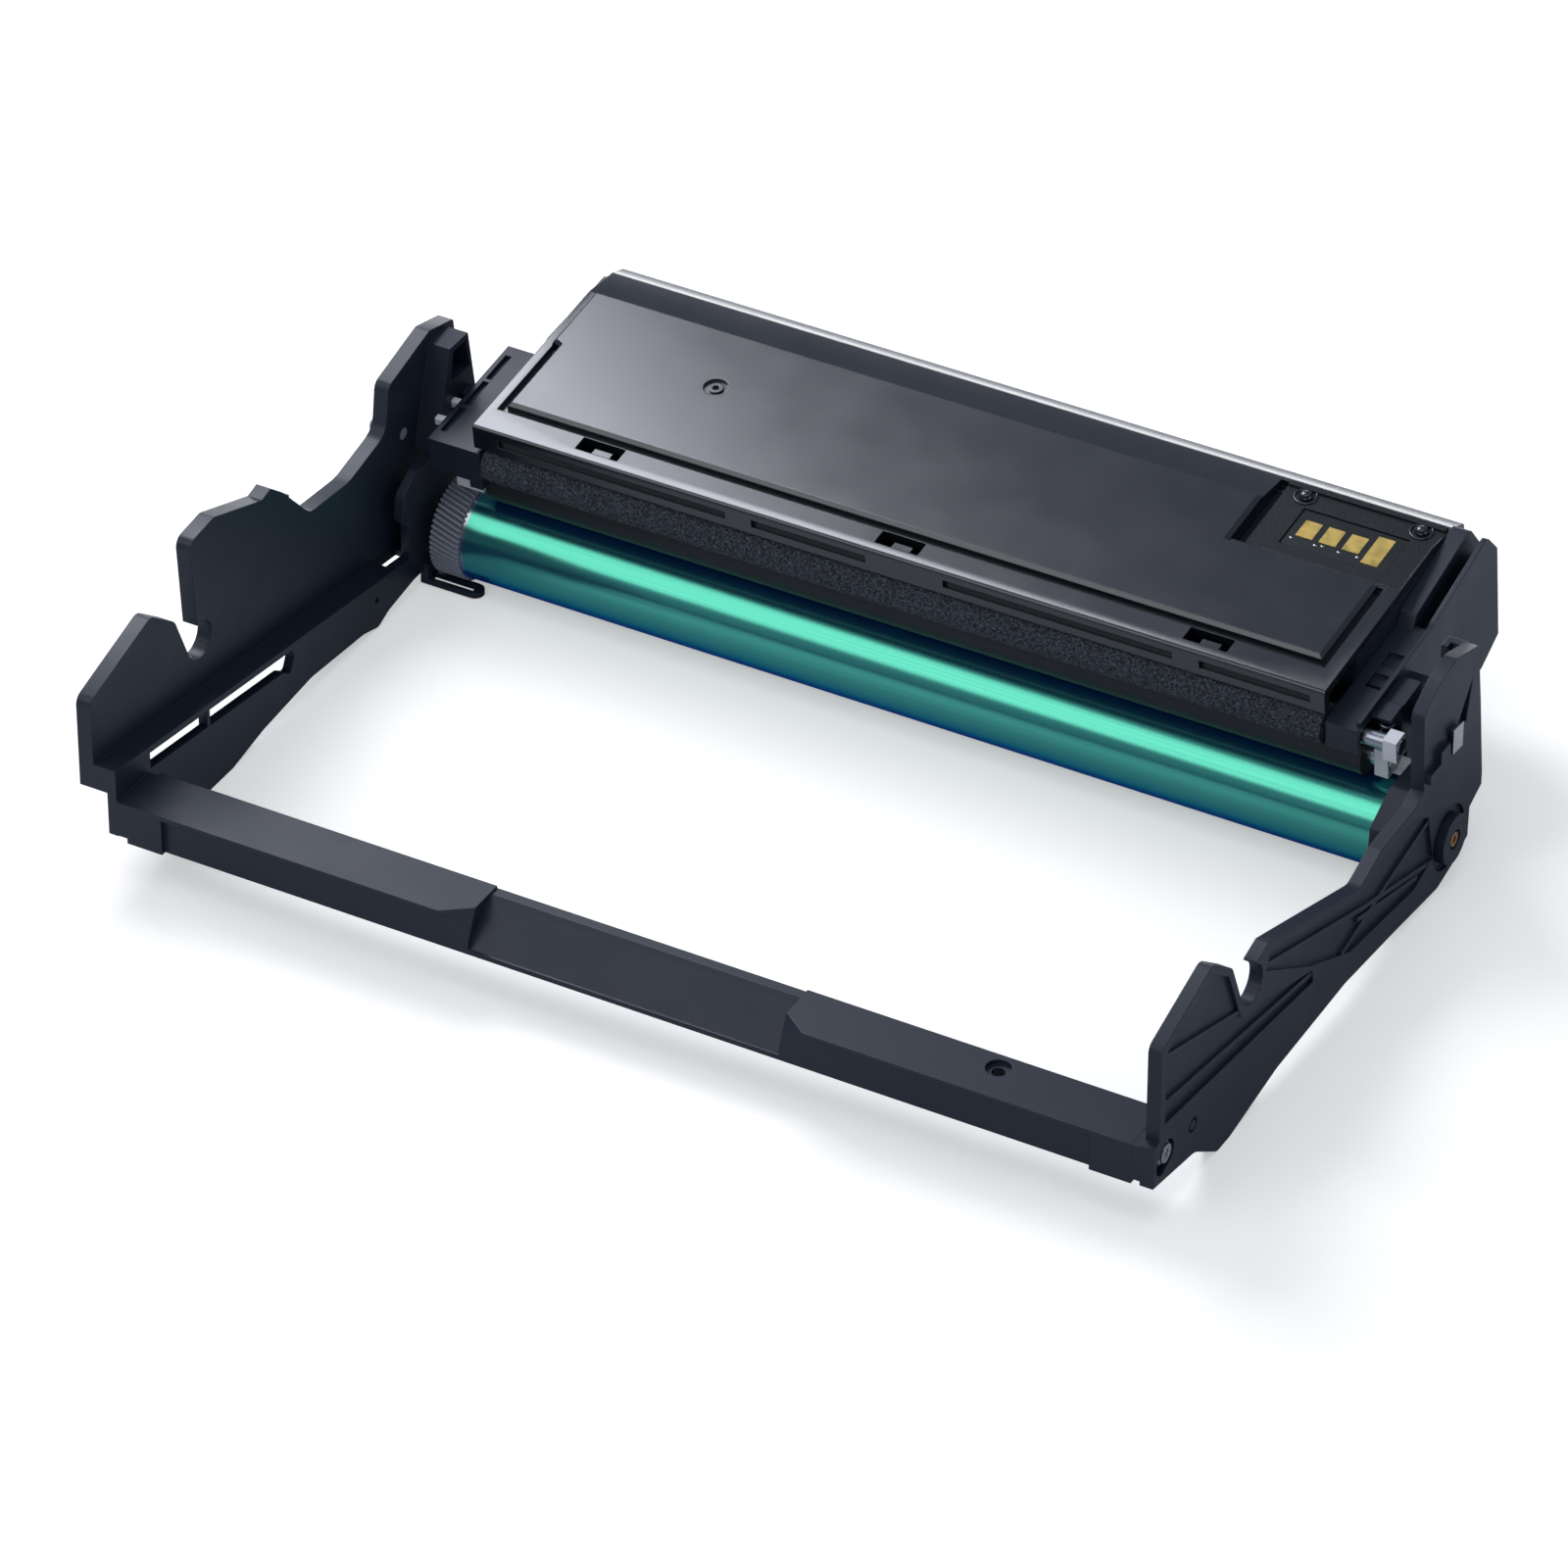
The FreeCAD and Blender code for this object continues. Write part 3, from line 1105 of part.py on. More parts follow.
save("blade_screws", on_housing(Part.makeCompound(bracket_screws)))
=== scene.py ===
# %% [markdown]
# A laser printer's drum unit, dressed on its fixed frame.
# The frame holds every piece at its real size. This script gives the pieces their finishes and
# builds the fine shapes that the eye looks for: rounded edges, sponge pores, wire springs.

import math

import bmesh
import bpy
from mathutils import Matrix, Vector


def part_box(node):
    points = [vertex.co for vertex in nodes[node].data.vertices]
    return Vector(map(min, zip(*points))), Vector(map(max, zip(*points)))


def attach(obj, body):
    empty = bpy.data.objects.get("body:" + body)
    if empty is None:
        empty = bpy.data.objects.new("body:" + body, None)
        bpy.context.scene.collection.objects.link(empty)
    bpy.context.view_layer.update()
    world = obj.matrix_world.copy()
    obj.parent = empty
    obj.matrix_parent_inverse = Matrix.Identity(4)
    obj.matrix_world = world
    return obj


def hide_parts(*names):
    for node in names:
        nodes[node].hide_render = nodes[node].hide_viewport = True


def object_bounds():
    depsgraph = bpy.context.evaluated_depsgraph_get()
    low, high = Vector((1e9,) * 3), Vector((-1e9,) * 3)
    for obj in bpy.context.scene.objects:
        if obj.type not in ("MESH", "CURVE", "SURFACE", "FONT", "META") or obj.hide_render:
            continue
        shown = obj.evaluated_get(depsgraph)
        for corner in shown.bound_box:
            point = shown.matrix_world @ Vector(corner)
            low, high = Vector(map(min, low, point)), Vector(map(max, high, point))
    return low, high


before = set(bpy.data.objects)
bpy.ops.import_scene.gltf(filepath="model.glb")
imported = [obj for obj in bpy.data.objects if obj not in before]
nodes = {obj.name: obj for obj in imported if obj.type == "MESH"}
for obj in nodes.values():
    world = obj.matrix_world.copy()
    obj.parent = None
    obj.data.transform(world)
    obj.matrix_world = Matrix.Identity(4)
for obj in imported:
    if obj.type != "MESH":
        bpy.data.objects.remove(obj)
cad_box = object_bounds()

# %% [markdown]
# Real sizes of small things are easiest to read in millimetres, while Blender counts in metres.
# Colours are written as the hex values of a paint chart, and one function turns them to the
# linear values that a shader works with.

# %% Millimetres and colours
MM = 0.001


def linear(hex_colour):
    """sRGB hex such as "#1f2630" to a linear colour with full opacity."""
    channels = [int(hex_colour[i:i + 2], 16) / 255 for i in (1, 3, 5)]
    return tuple(c / 12.92 if c <= 0.04045 else ((c + 0.055) / 1.055) ** 2.4
                 for c in channels) + (1.0,)


print("a dark plastic is", [round(c, 4) for c in linear("#1f2630")])

# %% [markdown]
# Every material is a small graph of nodes. One helper fills a node's inputs and another adds a
# node, so a finish reads as a short list of what it is made of.

# %% Helpers that add and fill nodes
def fill(tree, node, inputs):
    """Fills a node's inputs; a value may be a number, a colour or another node's output."""
    for name, value in inputs.items():
        if isinstance(value, bpy.types.NodeSocket):
            tree.links.new(value, node.inputs[name])
        else:
            node.inputs[name].default_value = value


def add(tree, kind, inputs=None, **options):
    """Adds a node to a tree, sets its options and fills its inputs."""
    node = tree.nodes.new(kind)
    for name, value in options.items():
        setattr(node, name, value)
    fill(tree, node, inputs or {})
    return node


def new_material(name):
    """An empty material with a Principled shader, and the Object coordinates of the piece."""
    material = bpy.data.materials.new(name)
    material.use_nodes = True
    tree = material.node_tree
    tree.nodes.clear()
    shader = add(tree, "ShaderNodeBsdfPrincipled")
    add(tree, "ShaderNodeOutputMaterial", {"Surface": shader.outputs["BSDF"]})
    place = add(tree, "ShaderNodeTexCoord").outputs["Object"]
    return material, tree, shader, place


# %% [markdown]
# Nearly every finish has a fine noise in it, as grain, rings or cells. The noise seldom leaves
# the middle of its range, so that middle part is spread over the values that a finish needs.

# %% Helpers for noise
NOISE_LOW, NOISE_HIGH = 0.3, 0.7


def noise(tree, place, cell_mm, detail, roughness=0.5):
    """A fine noise whose cells have a size in millimetres."""
    texture = add(tree, "ShaderNodeTexNoise", {
        "Vector": place, "Scale": 1 / (cell_mm * MM), "Detail": detail, "Roughness": roughness})
    return texture.outputs["Fac"]


def spread(tree, value, low, high):
    """Spreads a noise over the values from low to high."""
    spreader = add(tree, "ShaderNodeMapRange", {
        "Value": value, "From Min": NOISE_LOW, "From Max": NOISE_HIGH,
        "To Min": low, "To Max": high})
    return spreader.outputs["Result"]


def scaled(tree, vector, factor):
    """A colour or a direction, times a number."""
    return add(tree, "ShaderNodeVectorMath", {0: vector, "Scale": factor},
               operation="SCALE").outputs["Vector"]


def relief(tree, height, strength, height_mm, edge_mm=None, samples=8):
    """A bumped normal, over edges that look rounded where an edge radius is given."""
    inputs = {"Strength": strength, "Distance": height_mm * MM, "Height": height}
    if edge_mm is not None:
        edge = add(tree, "ShaderNodeBevel", {"Radius": edge_mm * MM}, samples=samples)
        inputs["Normal"] = edge.outputs["Normal"]
    return add(tree, "ShaderNodeBump", inputs).outputs["Normal"]


print("noise is spread from", NOISE_LOW, "to", NOISE_HIGH)

# %% [markdown]
# Nearly the whole unit is injection-moulded plastic. The mould was spark-eroded, which leaves a
# fine matt grain, and every edge comes out of it slightly rounded. The round edges catch the
# light as thin bright lines, so the shader rounds the normal near each edge by a few tenths of a
# millimetre, and a fine noise gives the grain.

# %% Moulded plastics
GRAIN_HEIGHT_MM = 0.05
FLOW_MARK_MM = 14


def moulded_plastic(name, colour, roughness, grain_mm, grain_depth, edge_mm=0.3, specular=0.5):
    """Plastic with a fine eroded grain, faint flow marks in its gloss, and rounded edges."""
    material, tree, shader, place = new_material(name)
    grain = noise(tree, place, grain_mm, 3.0)
    flow = noise(tree, place, FLOW_MARK_MM, 2.0)
    fill(tree, shader, {
        "Base Color": scaled(tree, linear(colour)[:3], spread(tree, grain, 0.95, 1.05)),
        "Roughness": spread(tree, flow, roughness * 0.93, roughness * 1.07),
        "Normal": relief(tree, grain, grain_depth, GRAIN_HEIGHT_MM, edge_mm),
        "IOR": 1.5,
        "Specular IOR Level": specular})
    return material


# The carrier is a dark blue-black ABS with a fine matt grain.
carrier_abs = moulded_plastic("Spark_eroded_black_ABS", "#1d2431", 0.42, 0.35, 0.2, specular=0.42)
# The lid comes from a smoother mould, so it mirrors the room softly.
lid_abs = moulded_plastic("Satin_black_ABS", "#10141b", 0.22, 0.3, 0.03, specular=1.0)
# The chip's holder has a coarse leathery grain.
holder_abs = moulded_plastic("Coarse_grain_black_ABS", "#0d1015", 0.5, 0.5, 1.8, specular=0.3)
# Acetal gears and bushes keep the resin's own colour.
gear_acetal = moulded_plastic("Natural_grey_acetal", "#8b9099", 0.38, 0.5, 0.1, 0.12)
bush_acetal = moulded_plastic("White_acetal", "#dfe1e4", 0.35, 0.5, 0.1, 0.2)
# The chip's board wears a dark solder mask, which is as smooth as a moulding.
board_mask = moulded_plastic("Solder_mask", "#0f1413", 0.3, 0.6, 0.2, 0.1)
print("plastics:", [material.name for material in bpy.data.materials])

# %% [markdown]
# The photoconductor is a thin clear coloured film on a mirror-turned aluminium tube. Light goes
# through the film, off the metal and out again, so the reflections themselves are blue-green. A
# metal with a blue-green base under a clear coat behaves like that, and a blue sheen and edge
# tint turn it navy where it is seen at a flat angle. The lathe left fine rings round the tube
# and the dip coat left faint streaks along it. The film stops short of the tube's ends, where
# the bare aluminium shows.

# %% Photoconductor film
FILM_MARGIN_MM = 1.0
# Streaks are about a hundred millimetres long and half a millimetre wide.
STREAK_SCALE = (9.0, 2200.0, 2200.0)
# A colour Mix node has sockets for other kinds of value too; these are its colour sockets.
MIX_COLOUR_A, MIX_COLOUR_B, MIX_RESULT = 6, 7, 2


def maths(tree, operation, first, second=0.0):
    """One sum on two values."""
    return add(tree, "ShaderNodeMath", {0: first, 1: second}, operation=operation).outputs["Value"]


def photoconductor_film():
    """Blue-green film on turned aluminium, bare at both ends."""
    material, tree, shader, place = new_material("Photoconductor_film_on_aluminium")
    along = add(tree, "ShaderNodeSeparateXYZ", {"Vector": place}).outputs["X"]
    rings = add(tree, "ShaderNodeTexNoise", {"W": along, "Scale": 1 / (0.35 * MM), "Detail": 3.0},
                noise_dimensions="1D").outputs["Fac"]
    low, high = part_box("drum_tube")
    film_reach = (high.x - low.x) / 2 - FILM_MARGIN_MM * MM
    off_middle = maths(tree, "SUBTRACT", along, (low.x + high.x) / 2)
    bare = maths(tree, "GREATER_THAN", maths(tree, "ABSOLUTE", off_middle), film_reach)
    tint = add(tree, "ShaderNodeMix", {"Factor": bare, MIX_COLOUR_A: linear("#5cc6a6"),
                                       MIX_COLOUR_B: linear("#b9bcbf")}, data_type="RGBA")
    stretched = add(tree, "ShaderNodeMapping", {"Vector": place, "Scale": STREAK_SCALE})
    streaks = add(tree, "ShaderNodeTexNoise", {"Vector": stretched.outputs["Vector"],
                                               "Scale": 1.0, "Detail": 2.0}).outputs["Fac"]
    fill(tree, shader, {
        "Base Color": scaled(tree, tint.outputs[MIX_RESULT], spread(tree, streaks, 0.94, 1.06)),
        "Normal": relief(tree, rings, 0.04, 0.02),
        "Metallic": 1.0,
        "Roughness": 0.2,
        "Specular Tint": linear("#1a62d8"),
        "Sheen Weight": 1.0,
        "Sheen Roughness": 0.7,
        "Sheen Tint": linear("#0a3fa8"),
        "Coat Weight": 0.12,
        "Coat Roughness": 0.04})
    return material


opc_film = photoconductor_film()
print("the film stops", FILM_MARGIN_MM, "mm short of the tube's ends")

# %% [markdown]
# The metals are turned, ground, drawn or plated. Each keeps fine marks of how it was made, which
# blur its reflections a little and unevenly.

# %% Metals
MARK_HEIGHT_MM = 0.02


def metal(name, colour, roughness, mark_mm=0.4, depth=0.15, edge_mm=0.12):
    """Turned or drawn metal with fine marks on its surface."""
    material, tree, shader, place = new_material(name)
    marks = noise(tree, place, mark_mm, 2.0)
    fill(tree, shader, {
        "Base Color": linear(colour),
        "Metallic": 1.0,
        "Roughness": spread(tree, marks, roughness * 0.8, roughness * 1.2),
        "Normal": relief(tree, marks, depth, MARK_HEIGHT_MM, edge_mm, samples=4)})
    return material


ground_steel = metal("Ground_steel", "#a9adb3", 0.25)
nickel_plate = metal("Nickel_plate", "#c9cbcc", 0.18)
turned_brass = metal("Turned_brass", "#c79a5c", 0.22)
gold_plate = metal("Gold_plated_copper", "#d7b969", 0.36, mark_mm=3.0, depth=0.01, edge_mm=0.02)
spring_steel = metal("Drawn_spring_wire", "#b0b3b8", 0.25)
print("materials so far:", len(bpy.data.materials))

# %% [markdown]
# The charge roller is a smooth conductive rubber. The sponge roller above it is an open-cell
# foam, full of carbon. The smaller soft parts are a cast polyurethane blade, a clear film and two
# foam seals. Their colours hold painted light: low cells are painted darker as shade in the pores,
# and raised cell walls lighter as a painted sparkle.

# %% Rubber, foam and film
CELL_HEIGHT_MM = 0.15
# The noise where the painted shade in the pores is darkest and where the painted sparkle on the
# walls is brightest.
PORE_SHADE_NOISE, WALL_SPARKLE_NOISE = 0.42, 0.68


def soft_material(name, pore_shade_colour, wall_sparkle_colour, roughness, cell_mm, depth):
    """Rubber or foam with painted light: low cells darker as painted shade, raised walls lighter
    as a painted sparkle.
    """
    material, tree, shader, place = new_material(name)
    cells = noise(tree, place, cell_mm, 3.0, roughness=0.7)
    # Painted light: the cells' noise, which also raises the bump, paints the low pores darker as
    # shade and the high walls lighter as sparkle.
    shade_and_sparkle_ramp = add(tree, "ShaderNodeValToRGB", {"Fac": cells})
    ends = zip(shade_and_sparkle_ramp.color_ramp.elements, (PORE_SHADE_NOISE, WALL_SPARKLE_NOISE), (pore_shade_colour, wall_sparkle_colour))
    for end, position, colour in ends:
        end.position = position
        end.color = linear(colour)
    fill(tree, shader, {"Base Color": shade_and_sparkle_ramp.outputs["Color"],
                        "Normal": relief(tree, cells, depth, CELL_HEIGHT_MM),
                        "Roughness": roughness})
    return material


# Each pair is a pore colour darkened as painted shade and a wall colour lightened as a painted
# sparkle; for the rubber, blade and film the two are close.
charge_rubber = soft_material("Conductive_rubber", "#101216", "#191c21", 0.55, 0.4, 0.1)
roller_foam = soft_material("Open_cell_foam", "#15181d", "#5a616b", 0.85, 0.55, 0.8)
seal_foam = soft_material("Seal_foam", "#17181b", "#33363b", 0.9, 0.4, 0.6)
blade_urethane = soft_material("Cast_polyurethane", "#8a6f45", "#9a8055", 0.35, 2.0, 0.02)
clear_film = soft_material("Polyester_film", "#202227", "#26282e", 0.15, 3.0, 0.02)
print("materials:", len(bpy.data.materials))

# %% [markdown]
# Each node of the frame now gets its finish. The frame's meshes are loose triangles, so a small
# Geometry Nodes tree welds them and shades them smooth where two faces meet at a shallow angle.

# %% Weld and smooth the frame's meshes
WELD_MM = 0.002
SHARP_ANGLE = math.radians(28)


def new_tree(name, sizes):
    """An empty Geometry Nodes tree with named size inputs; gives the tree and its inlet."""
    tree = bpy.data.node_groups.new(name, "GeometryNodeTree")
    tree.interface.new_socket("Geometry", in_out="INPUT", socket_type="NodeSocketGeometry")
    for size, value in sizes.items():
        kind = "NodeSocketInt" if isinstance(value, int) else "NodeSocketFloat"
        tree.interface.new_socket(size, in_out="INPUT", socket_type=kind)
    tree.interface.new_socket("Geometry", in_out="OUTPUT", socket_type="NodeSocketGeometry")
    return tree, add(tree, "NodeGroupInput").outputs


def use_tree(piece, tree, sizes):
    """Puts a tree on a piece as a modifier and fills its named sizes."""
    modifier = piece.modifiers.new(tree.name, "NODES")
    modifier.node_group = tree
    for socket in tree.interface.items_tree:
        if socket.item_type == "SOCKET" and socket.in_out == "INPUT" and socket.name in sizes:
            modifier[socket.identifier] = sizes[socket.name]
    return modifier


weld_sizes = {"Weld Distance": WELD_MM * MM, "Sharp Angle": SHARP_ANGLE}


def smooth_tree():
    """Welds loose triangles and keeps only edges sharper than the limit sharp."""
    tree, size = new_tree("Weld_and_smooth", weld_sizes)
    welded = add(tree, "GeometryNodeMergeByDistance", {"Geometry": size["Geometry"],
                                                       "Distance": size["Weld Distance"]})
    angle = add(tree, "GeometryNodeInputMeshEdgeAngle")
    sharp = add(tree, "FunctionNodeCompare", {0: angle.outputs["Unsigned Angle"],
                                              1: size["Sharp Angle"]}, operation="GREATER_THAN")
    faces = add(tree, "GeometryNodeSetShadeSmooth", {
        "Geometry": welded.outputs["Geometry"], "Shade Smooth": True}, domain="FACE")
    edges = add(tree, "GeometryNodeSetShadeSmooth", {
        "Geometry": faces.outputs["Geometry"], "Selection": sharp.outputs["Result"],
        "Shade Smooth": False}, domain="EDGE")
    add(tree, "NodeGroupOutput", {"Geometry": edges.outputs["Geometry"]})
    return tree


weld_tree = smooth_tree()


def dress(name, material):
    """Gives one node of the frame its finish and smooth shading."""
    piece = nodes[name]
    piece.data.materials.clear()
    piece.data.materials.append(material)
    use_tree(piece, weld_tree, weld_sizes)


finishes = {
    carrier_abs: ("left_side_arm", "right_side_arm", "front_cross_bar", "waste_housing",
                  "left_end_cover", "right_end_cover"),
    lid_abs: ("housing_lid",),
    holder_abs: ("chip_holder",),
    gear_acetal: ("drum_gear", "drum_flange", "guide_peg", "cleaning_bush_left"),
    bush_acetal: ("charge_bush_left", "charge_bush_right", "cleaning_bush_right"),
    opc_film: ("drum_tube",),
    ground_steel: ("drum_shaft", "charge_roller_core", "cleaning_roller_core", "blade_bracket"),
    nickel_plate: ("contact_terminal", "bar_screws", "blade_screws"),
    spring_steel: ("bush_springs",),
    turned_brass: ("shaft_screw",),
    gold_plate: ("chip_contacts",),
    board_mask: ("chip_board",),
    charge_rubber: ("charge_roller_sleeve",),
    roller_foam: ("cleaning_roller_sponge",),
    seal_foam: ("end_seals",),
    blade_urethane: ("cleaning_blade",),
    clear_film: ("recovery_film",),
}
for finish, names in finishes.items():
    for name in names:
        dress(name, finish)
print("dressed:", sum(len(names) for names in finishes.values()), "of", len(nodes))

# %% [markdown]
# The waste housing leans back on the arms, so its small parts lean with it. One helper turns a
# place measured on the housing, from the drum's left end and its axis, into the unit's frame.

# %% Places on the leaning housing
housing_tilt = math.radians(6.8)
housing_lean = (housing_tilt, 0.0, 0.0)
tube_low, tube_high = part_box("drum_tube")
axis_y = (tube_low.y + tube_high.y) / 2
axis_z = (tube_low.z + tube_high.z) / 2


def on_housing(x, y, z):
    """Millimetres along the drum, back from its axis and up from it, to a place in the frame."""
    back = y * math.cos(housing_tilt) - z * math.sin(housing_tilt)
    up = y * math.sin(housing_tilt) + z * math.cos(housing_tilt)
    return Vector((tube_low.x + x * MM, axis_y + back * MM, axis_z + up * MM))


print("drum axis at", [round(v / MM, 2) for v in (axis_y, axis_z)])

# %% [markdown]
# Shapes that repeat or follow a rule are grown by Geometry Nodes: the rule is written once, its
# sizes are named inputs, and one modifier makes the whole row. Each result is then turned into
# a plain mesh, because another program that opens the model knows nothing about the nodes.

# %% Growing a piece from a node tree
def flat_ball(tree, segments, rings, radius, stretch):
    """A ball of a given radius, stretched along its own axes."""
    ball = add(tree, "GeometryNodeMeshUVSphere", {"Segments": segments, "Rings": rings,
                                                  "Radius": radius})
    scale = add(tree, "ShaderNodeCombineXYZ", stretch)
    return add(tree, "GeometryNodeTransform", {
        "Geometry": ball.outputs["Mesh"], "Scale": scale.outputs["Vector"]}).outputs["Geometry"]


def shade_smooth(tree, geometry):
    """Smooth shading on every face."""
    return add(tree, "GeometryNodeSetShadeSmooth", {
        "Geometry": geometry, "Shade Smooth": True}).outputs["Geometry"]


def leaning_row(tree, size, geometry):
    """One instance on every place of the tree's own geometry, leaning with the housing."""
    return add(tree, "GeometryNodeInstanceOnPoints", {
        "Points": size["Geometry"], "Instance": geometry,
        "Rotation": housing_lean}).outputs["Instances"]


def finish_tree(tree, geometry, material):
    """Ends a tree: instances become real mesh, and the finish is set."""
    real = add(tree, "GeometryNodeRealizeInstances", {"Geometry": geometry})
    coated = add(tree, "GeometryNodeSetMaterial", {"Geometry": real.outputs["Geometry"],
                                                   "Material": material})
    add(tree, "NodeGroupOutput", {"Geometry": coated.outputs["Geometry"]})


def grow(name, tree, sizes, places, material, body):
    """Runs a tree on a mesh of places and keeps the result as a plain mesh that rides a body."""
    seed_mesh = bpy.data.meshes.new(name + "_places")
    seed_mesh.from_pydata([tuple(place) for place in places], [], [])
    piece = bpy.data.objects.new(name, seed_mesh)
    bpy.context.scene.collection.objects.link(piece)
    growth = use_tree(piece, tree, sizes)
    evaluated = piece.evaluated_get(bpy.context.evaluated_depsgraph_get())
    mesh = bpy.data.meshes.new_from_object(evaluated)
    piece.modifiers.remove(growth)
    piece.data = mesh
    mesh.name = name
    if not mesh.materials:
        mesh.materials.append(material)
    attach(piece, body)
    print(name, "has", len(mesh.polygons), "faces")
    return piece


# %% [markdown]
# The sponge roller's skin is torn cell walls. A tube of small faces follows a fine noise: where
# the noise is high the face sinks into a pore, and elsewhere it stays on the roller's surface.
# Real pores give the roller its rough outline, which a painted pattern can't.

# %% Open-cell sponge roller
sponge_low, sponge_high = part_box("cleaning_roller_sponge")
sponge_sizes = {"Length": sponge_high.x - sponge_low.x,
                "Radius": (sponge_high.z - sponge_low.z) / 2,
                "Cell": 0.85 * MM, "Pore Depth": 0.42 * MM, "Around": 104, "Along": 620}
# The noise at a pore's rim and at its bottom.
PORE_RIM, PORE_BOTTOM = 0.46, 0.62


def sponge_tree():
    """A tube along X whose skin sinks into pores."""
    tree, size = new_tree("Open_cell_sponge", sponge_sizes)
    tube = add(tree, "GeometryNodeMeshCylinder", {
        "Vertices": size["Around"], "Side Segments": size["Along"],
        "Radius": size["Radius"], "Depth": size["Length"]})
    laid = add(tree, "GeometryNodeTransform", {"Geometry": tube.outputs["Mesh"],
                                               "Rotation": (0.0, math.pi / 2, 0.0)})
    cells = add(tree, "ShaderNodeTexNoise", {
        "Vector": add(tree, "GeometryNodeInputPosition").outputs["Position"],
        "Scale": maths(tree, "DIVIDE", 1.0, size["Cell"]), "Detail": 2.0, "Roughness": 0.6})
    pore = add(tree, "ShaderNodeMapRange", {
        "Value": cells.outputs["Fac"], "From Min": PORE_RIM, "From Max": PORE_BOTTOM,
        "To Min": 0.0, "To Max": -1.0})
    depth = maths(tree, "MULTIPLY", pore.outputs["Result"], size["Pore Depth"])
    outward = add(tree, "GeometryNodeInputNormal").outputs["Normal"]
    torn = add(tree, "GeometryNodeSetPosition", {"Geometry": laid.outputs["Geometry"],
                                                 "Offset": scaled(tree, outward, depth)})
    placed = add(tree, "GeometryNodeTransform", {"Geometry": torn.outputs["Geometry"],
                                                 "Translation": (sponge_low + sponge_high) / 2})
    finish_tree(tree, placed.outputs["Geometry"], roller_foam)
    return tree


sponge = grow("sponge_roller_cells", sponge_tree(), sponge_sizes, [(0, 0, 0)], roller_foam,
              "cleaning_roller")
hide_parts("cleaning_roller_sponge")

# %% [markdown]
# The pressure springs push the charge roller on the drum. A spiral curve with a round profile
# is a wire spring: the turns, the radius, the height and the wire are its only sizes.

# %% Wire springs
spring_low, spring_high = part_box("bush_springs")
spring_sizes = {"Turns": 4.0, "Coil Radius": 1.75 * MM, "Height": 7.5 * MM,
                "Wire Radius": 0.25 * MM}
# Each spring's middle is one outer radius in from the end of the frame's own springs.
SPRING_INSET_MM = 2.0


def spring_tree():
    """A wire spring that leans with the housing, on each of its places."""
    tree, size = new_tree("Wire_spring", spring_sizes)
    coil = add(tree, "GeometryNodeCurveSpiral", {
        "Resolution": 20, "Rotations": size["Turns"], "Start Radius": size["Coil Radius"],
        "End Radius": size["Coil Radius"], "Height": size["Height"]})
    wire = add(tree, "GeometryNodeCurvePrimitiveCircle", {"Resolution": 8,
                                                          "Radius": size["Wire Radius"]})
    bent = add(tree, "GeometryNodeCurveToMesh", {
        "Curve": coil.outputs["Curve"], "Profile Curve": wire.outputs["Curve"],
        "Fill Caps": True})
    down = add(tree, "ShaderNodeCombineXYZ", {"Z": maths(tree, "MULTIPLY", size["Height"], -0.5)})
    centred = add(tree, "GeometryNodeTransform", {"Geometry": bent.outputs["Mesh"],
                                                  "Translation": down.outputs["Vector"]})
    row = leaning_row(tree, size, centred.outputs["Geometry"])
    finish_tree(tree, row, spring_steel)
    return tree


spring_y = (spring_low.y + spring_high.y) / 2
spring_z = (spring_low.z + spring_high.z) / 2
spring_places = [(spring_low.x + SPRING_INSET_MM * MM, spring_y, spring_z),
                 (spring_high.x - SPRING_INSET_MM * MM, spring_y, spring_z)]
springs = grow("wire_springs", spring_tree(), spring_sizes, spring_places, spring_steel, "carrier")
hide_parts("bush_springs")

# %% [markdown]
# Two plastic stakes hold the chip's holder. Their tops were melted into domes, each in a round
# rim. A round cap on a ring, instanced at the two places, makes both.

# %% Melted stakes on the chip holder
stake_sizes = {"Dome Radius": 1.75 * MM, "Dome Rise": 0.75, "Rim Radius": 2.75 * MM,
               "Rim Wire": 0.3 * MM}
STAKE_BACK_MM, STAKE_UP_MM = 56.4, 38.3


def stake_tree():
    """A low dome in a round rim, on each of its places."""
    tree, size = new_tree("Melted_stakes", stake_sizes)
    dome = flat_ball(tree, 28, 14, size["Dome Radius"],
                     {"X": 1.0, "Y": 1.0, "Z": size["Dome Rise"]})
    circle = add(tree, "GeometryNodeCurvePrimitiveCircle", {"Resolution": 32,
                                                            "Radius": size["Rim Radius"]})
    wire = add(tree, "GeometryNodeCurvePrimitiveCircle", {"Resolution": 8,
                                                          "Radius": size["Rim Wire"]})
    rim = add(tree, "GeometryNodeCurveToMesh", {"Curve": circle.outputs["Curve"],
                                                "Profile Curve": wire.outputs["Curve"]})
    stake = add(tree, "GeometryNodeJoinGeometry", {"Geometry": dome})
    tree.links.new(rim.outputs["Mesh"], stake.inputs["Geometry"])
    row = leaning_row(tree, size, shade_smooth(tree, stake.outputs["Geometry"]))
    finish_tree(tree, row, lid_abs)
    return tree


stake_places = [on_housing(x, STAKE_BACK_MM, STAKE_UP_MM) for x in (197.8, 228.4)]
stakes = grow("chip_stakes", stake_tree(), stake_sizes, stake_places, lid_abs, "carrier")

# %% [markdown]
# Beads of solder stand in front of the chip's gold pads, where its wires end. They are the same
# flat drop at five places, so one drop is instanced on them.

# %% Solder beads
bead_sizes = {"Bead Radius": 0.42 * MM, "Bead Rise": 0.6}
BEAD_UP_MM = 37.95
BEAD_SPOTS_MM = ((201.2, 41.7), (207.6, 41.5), (209.4, 41.9), (213.8, 41.6), (218.6, 41.8))


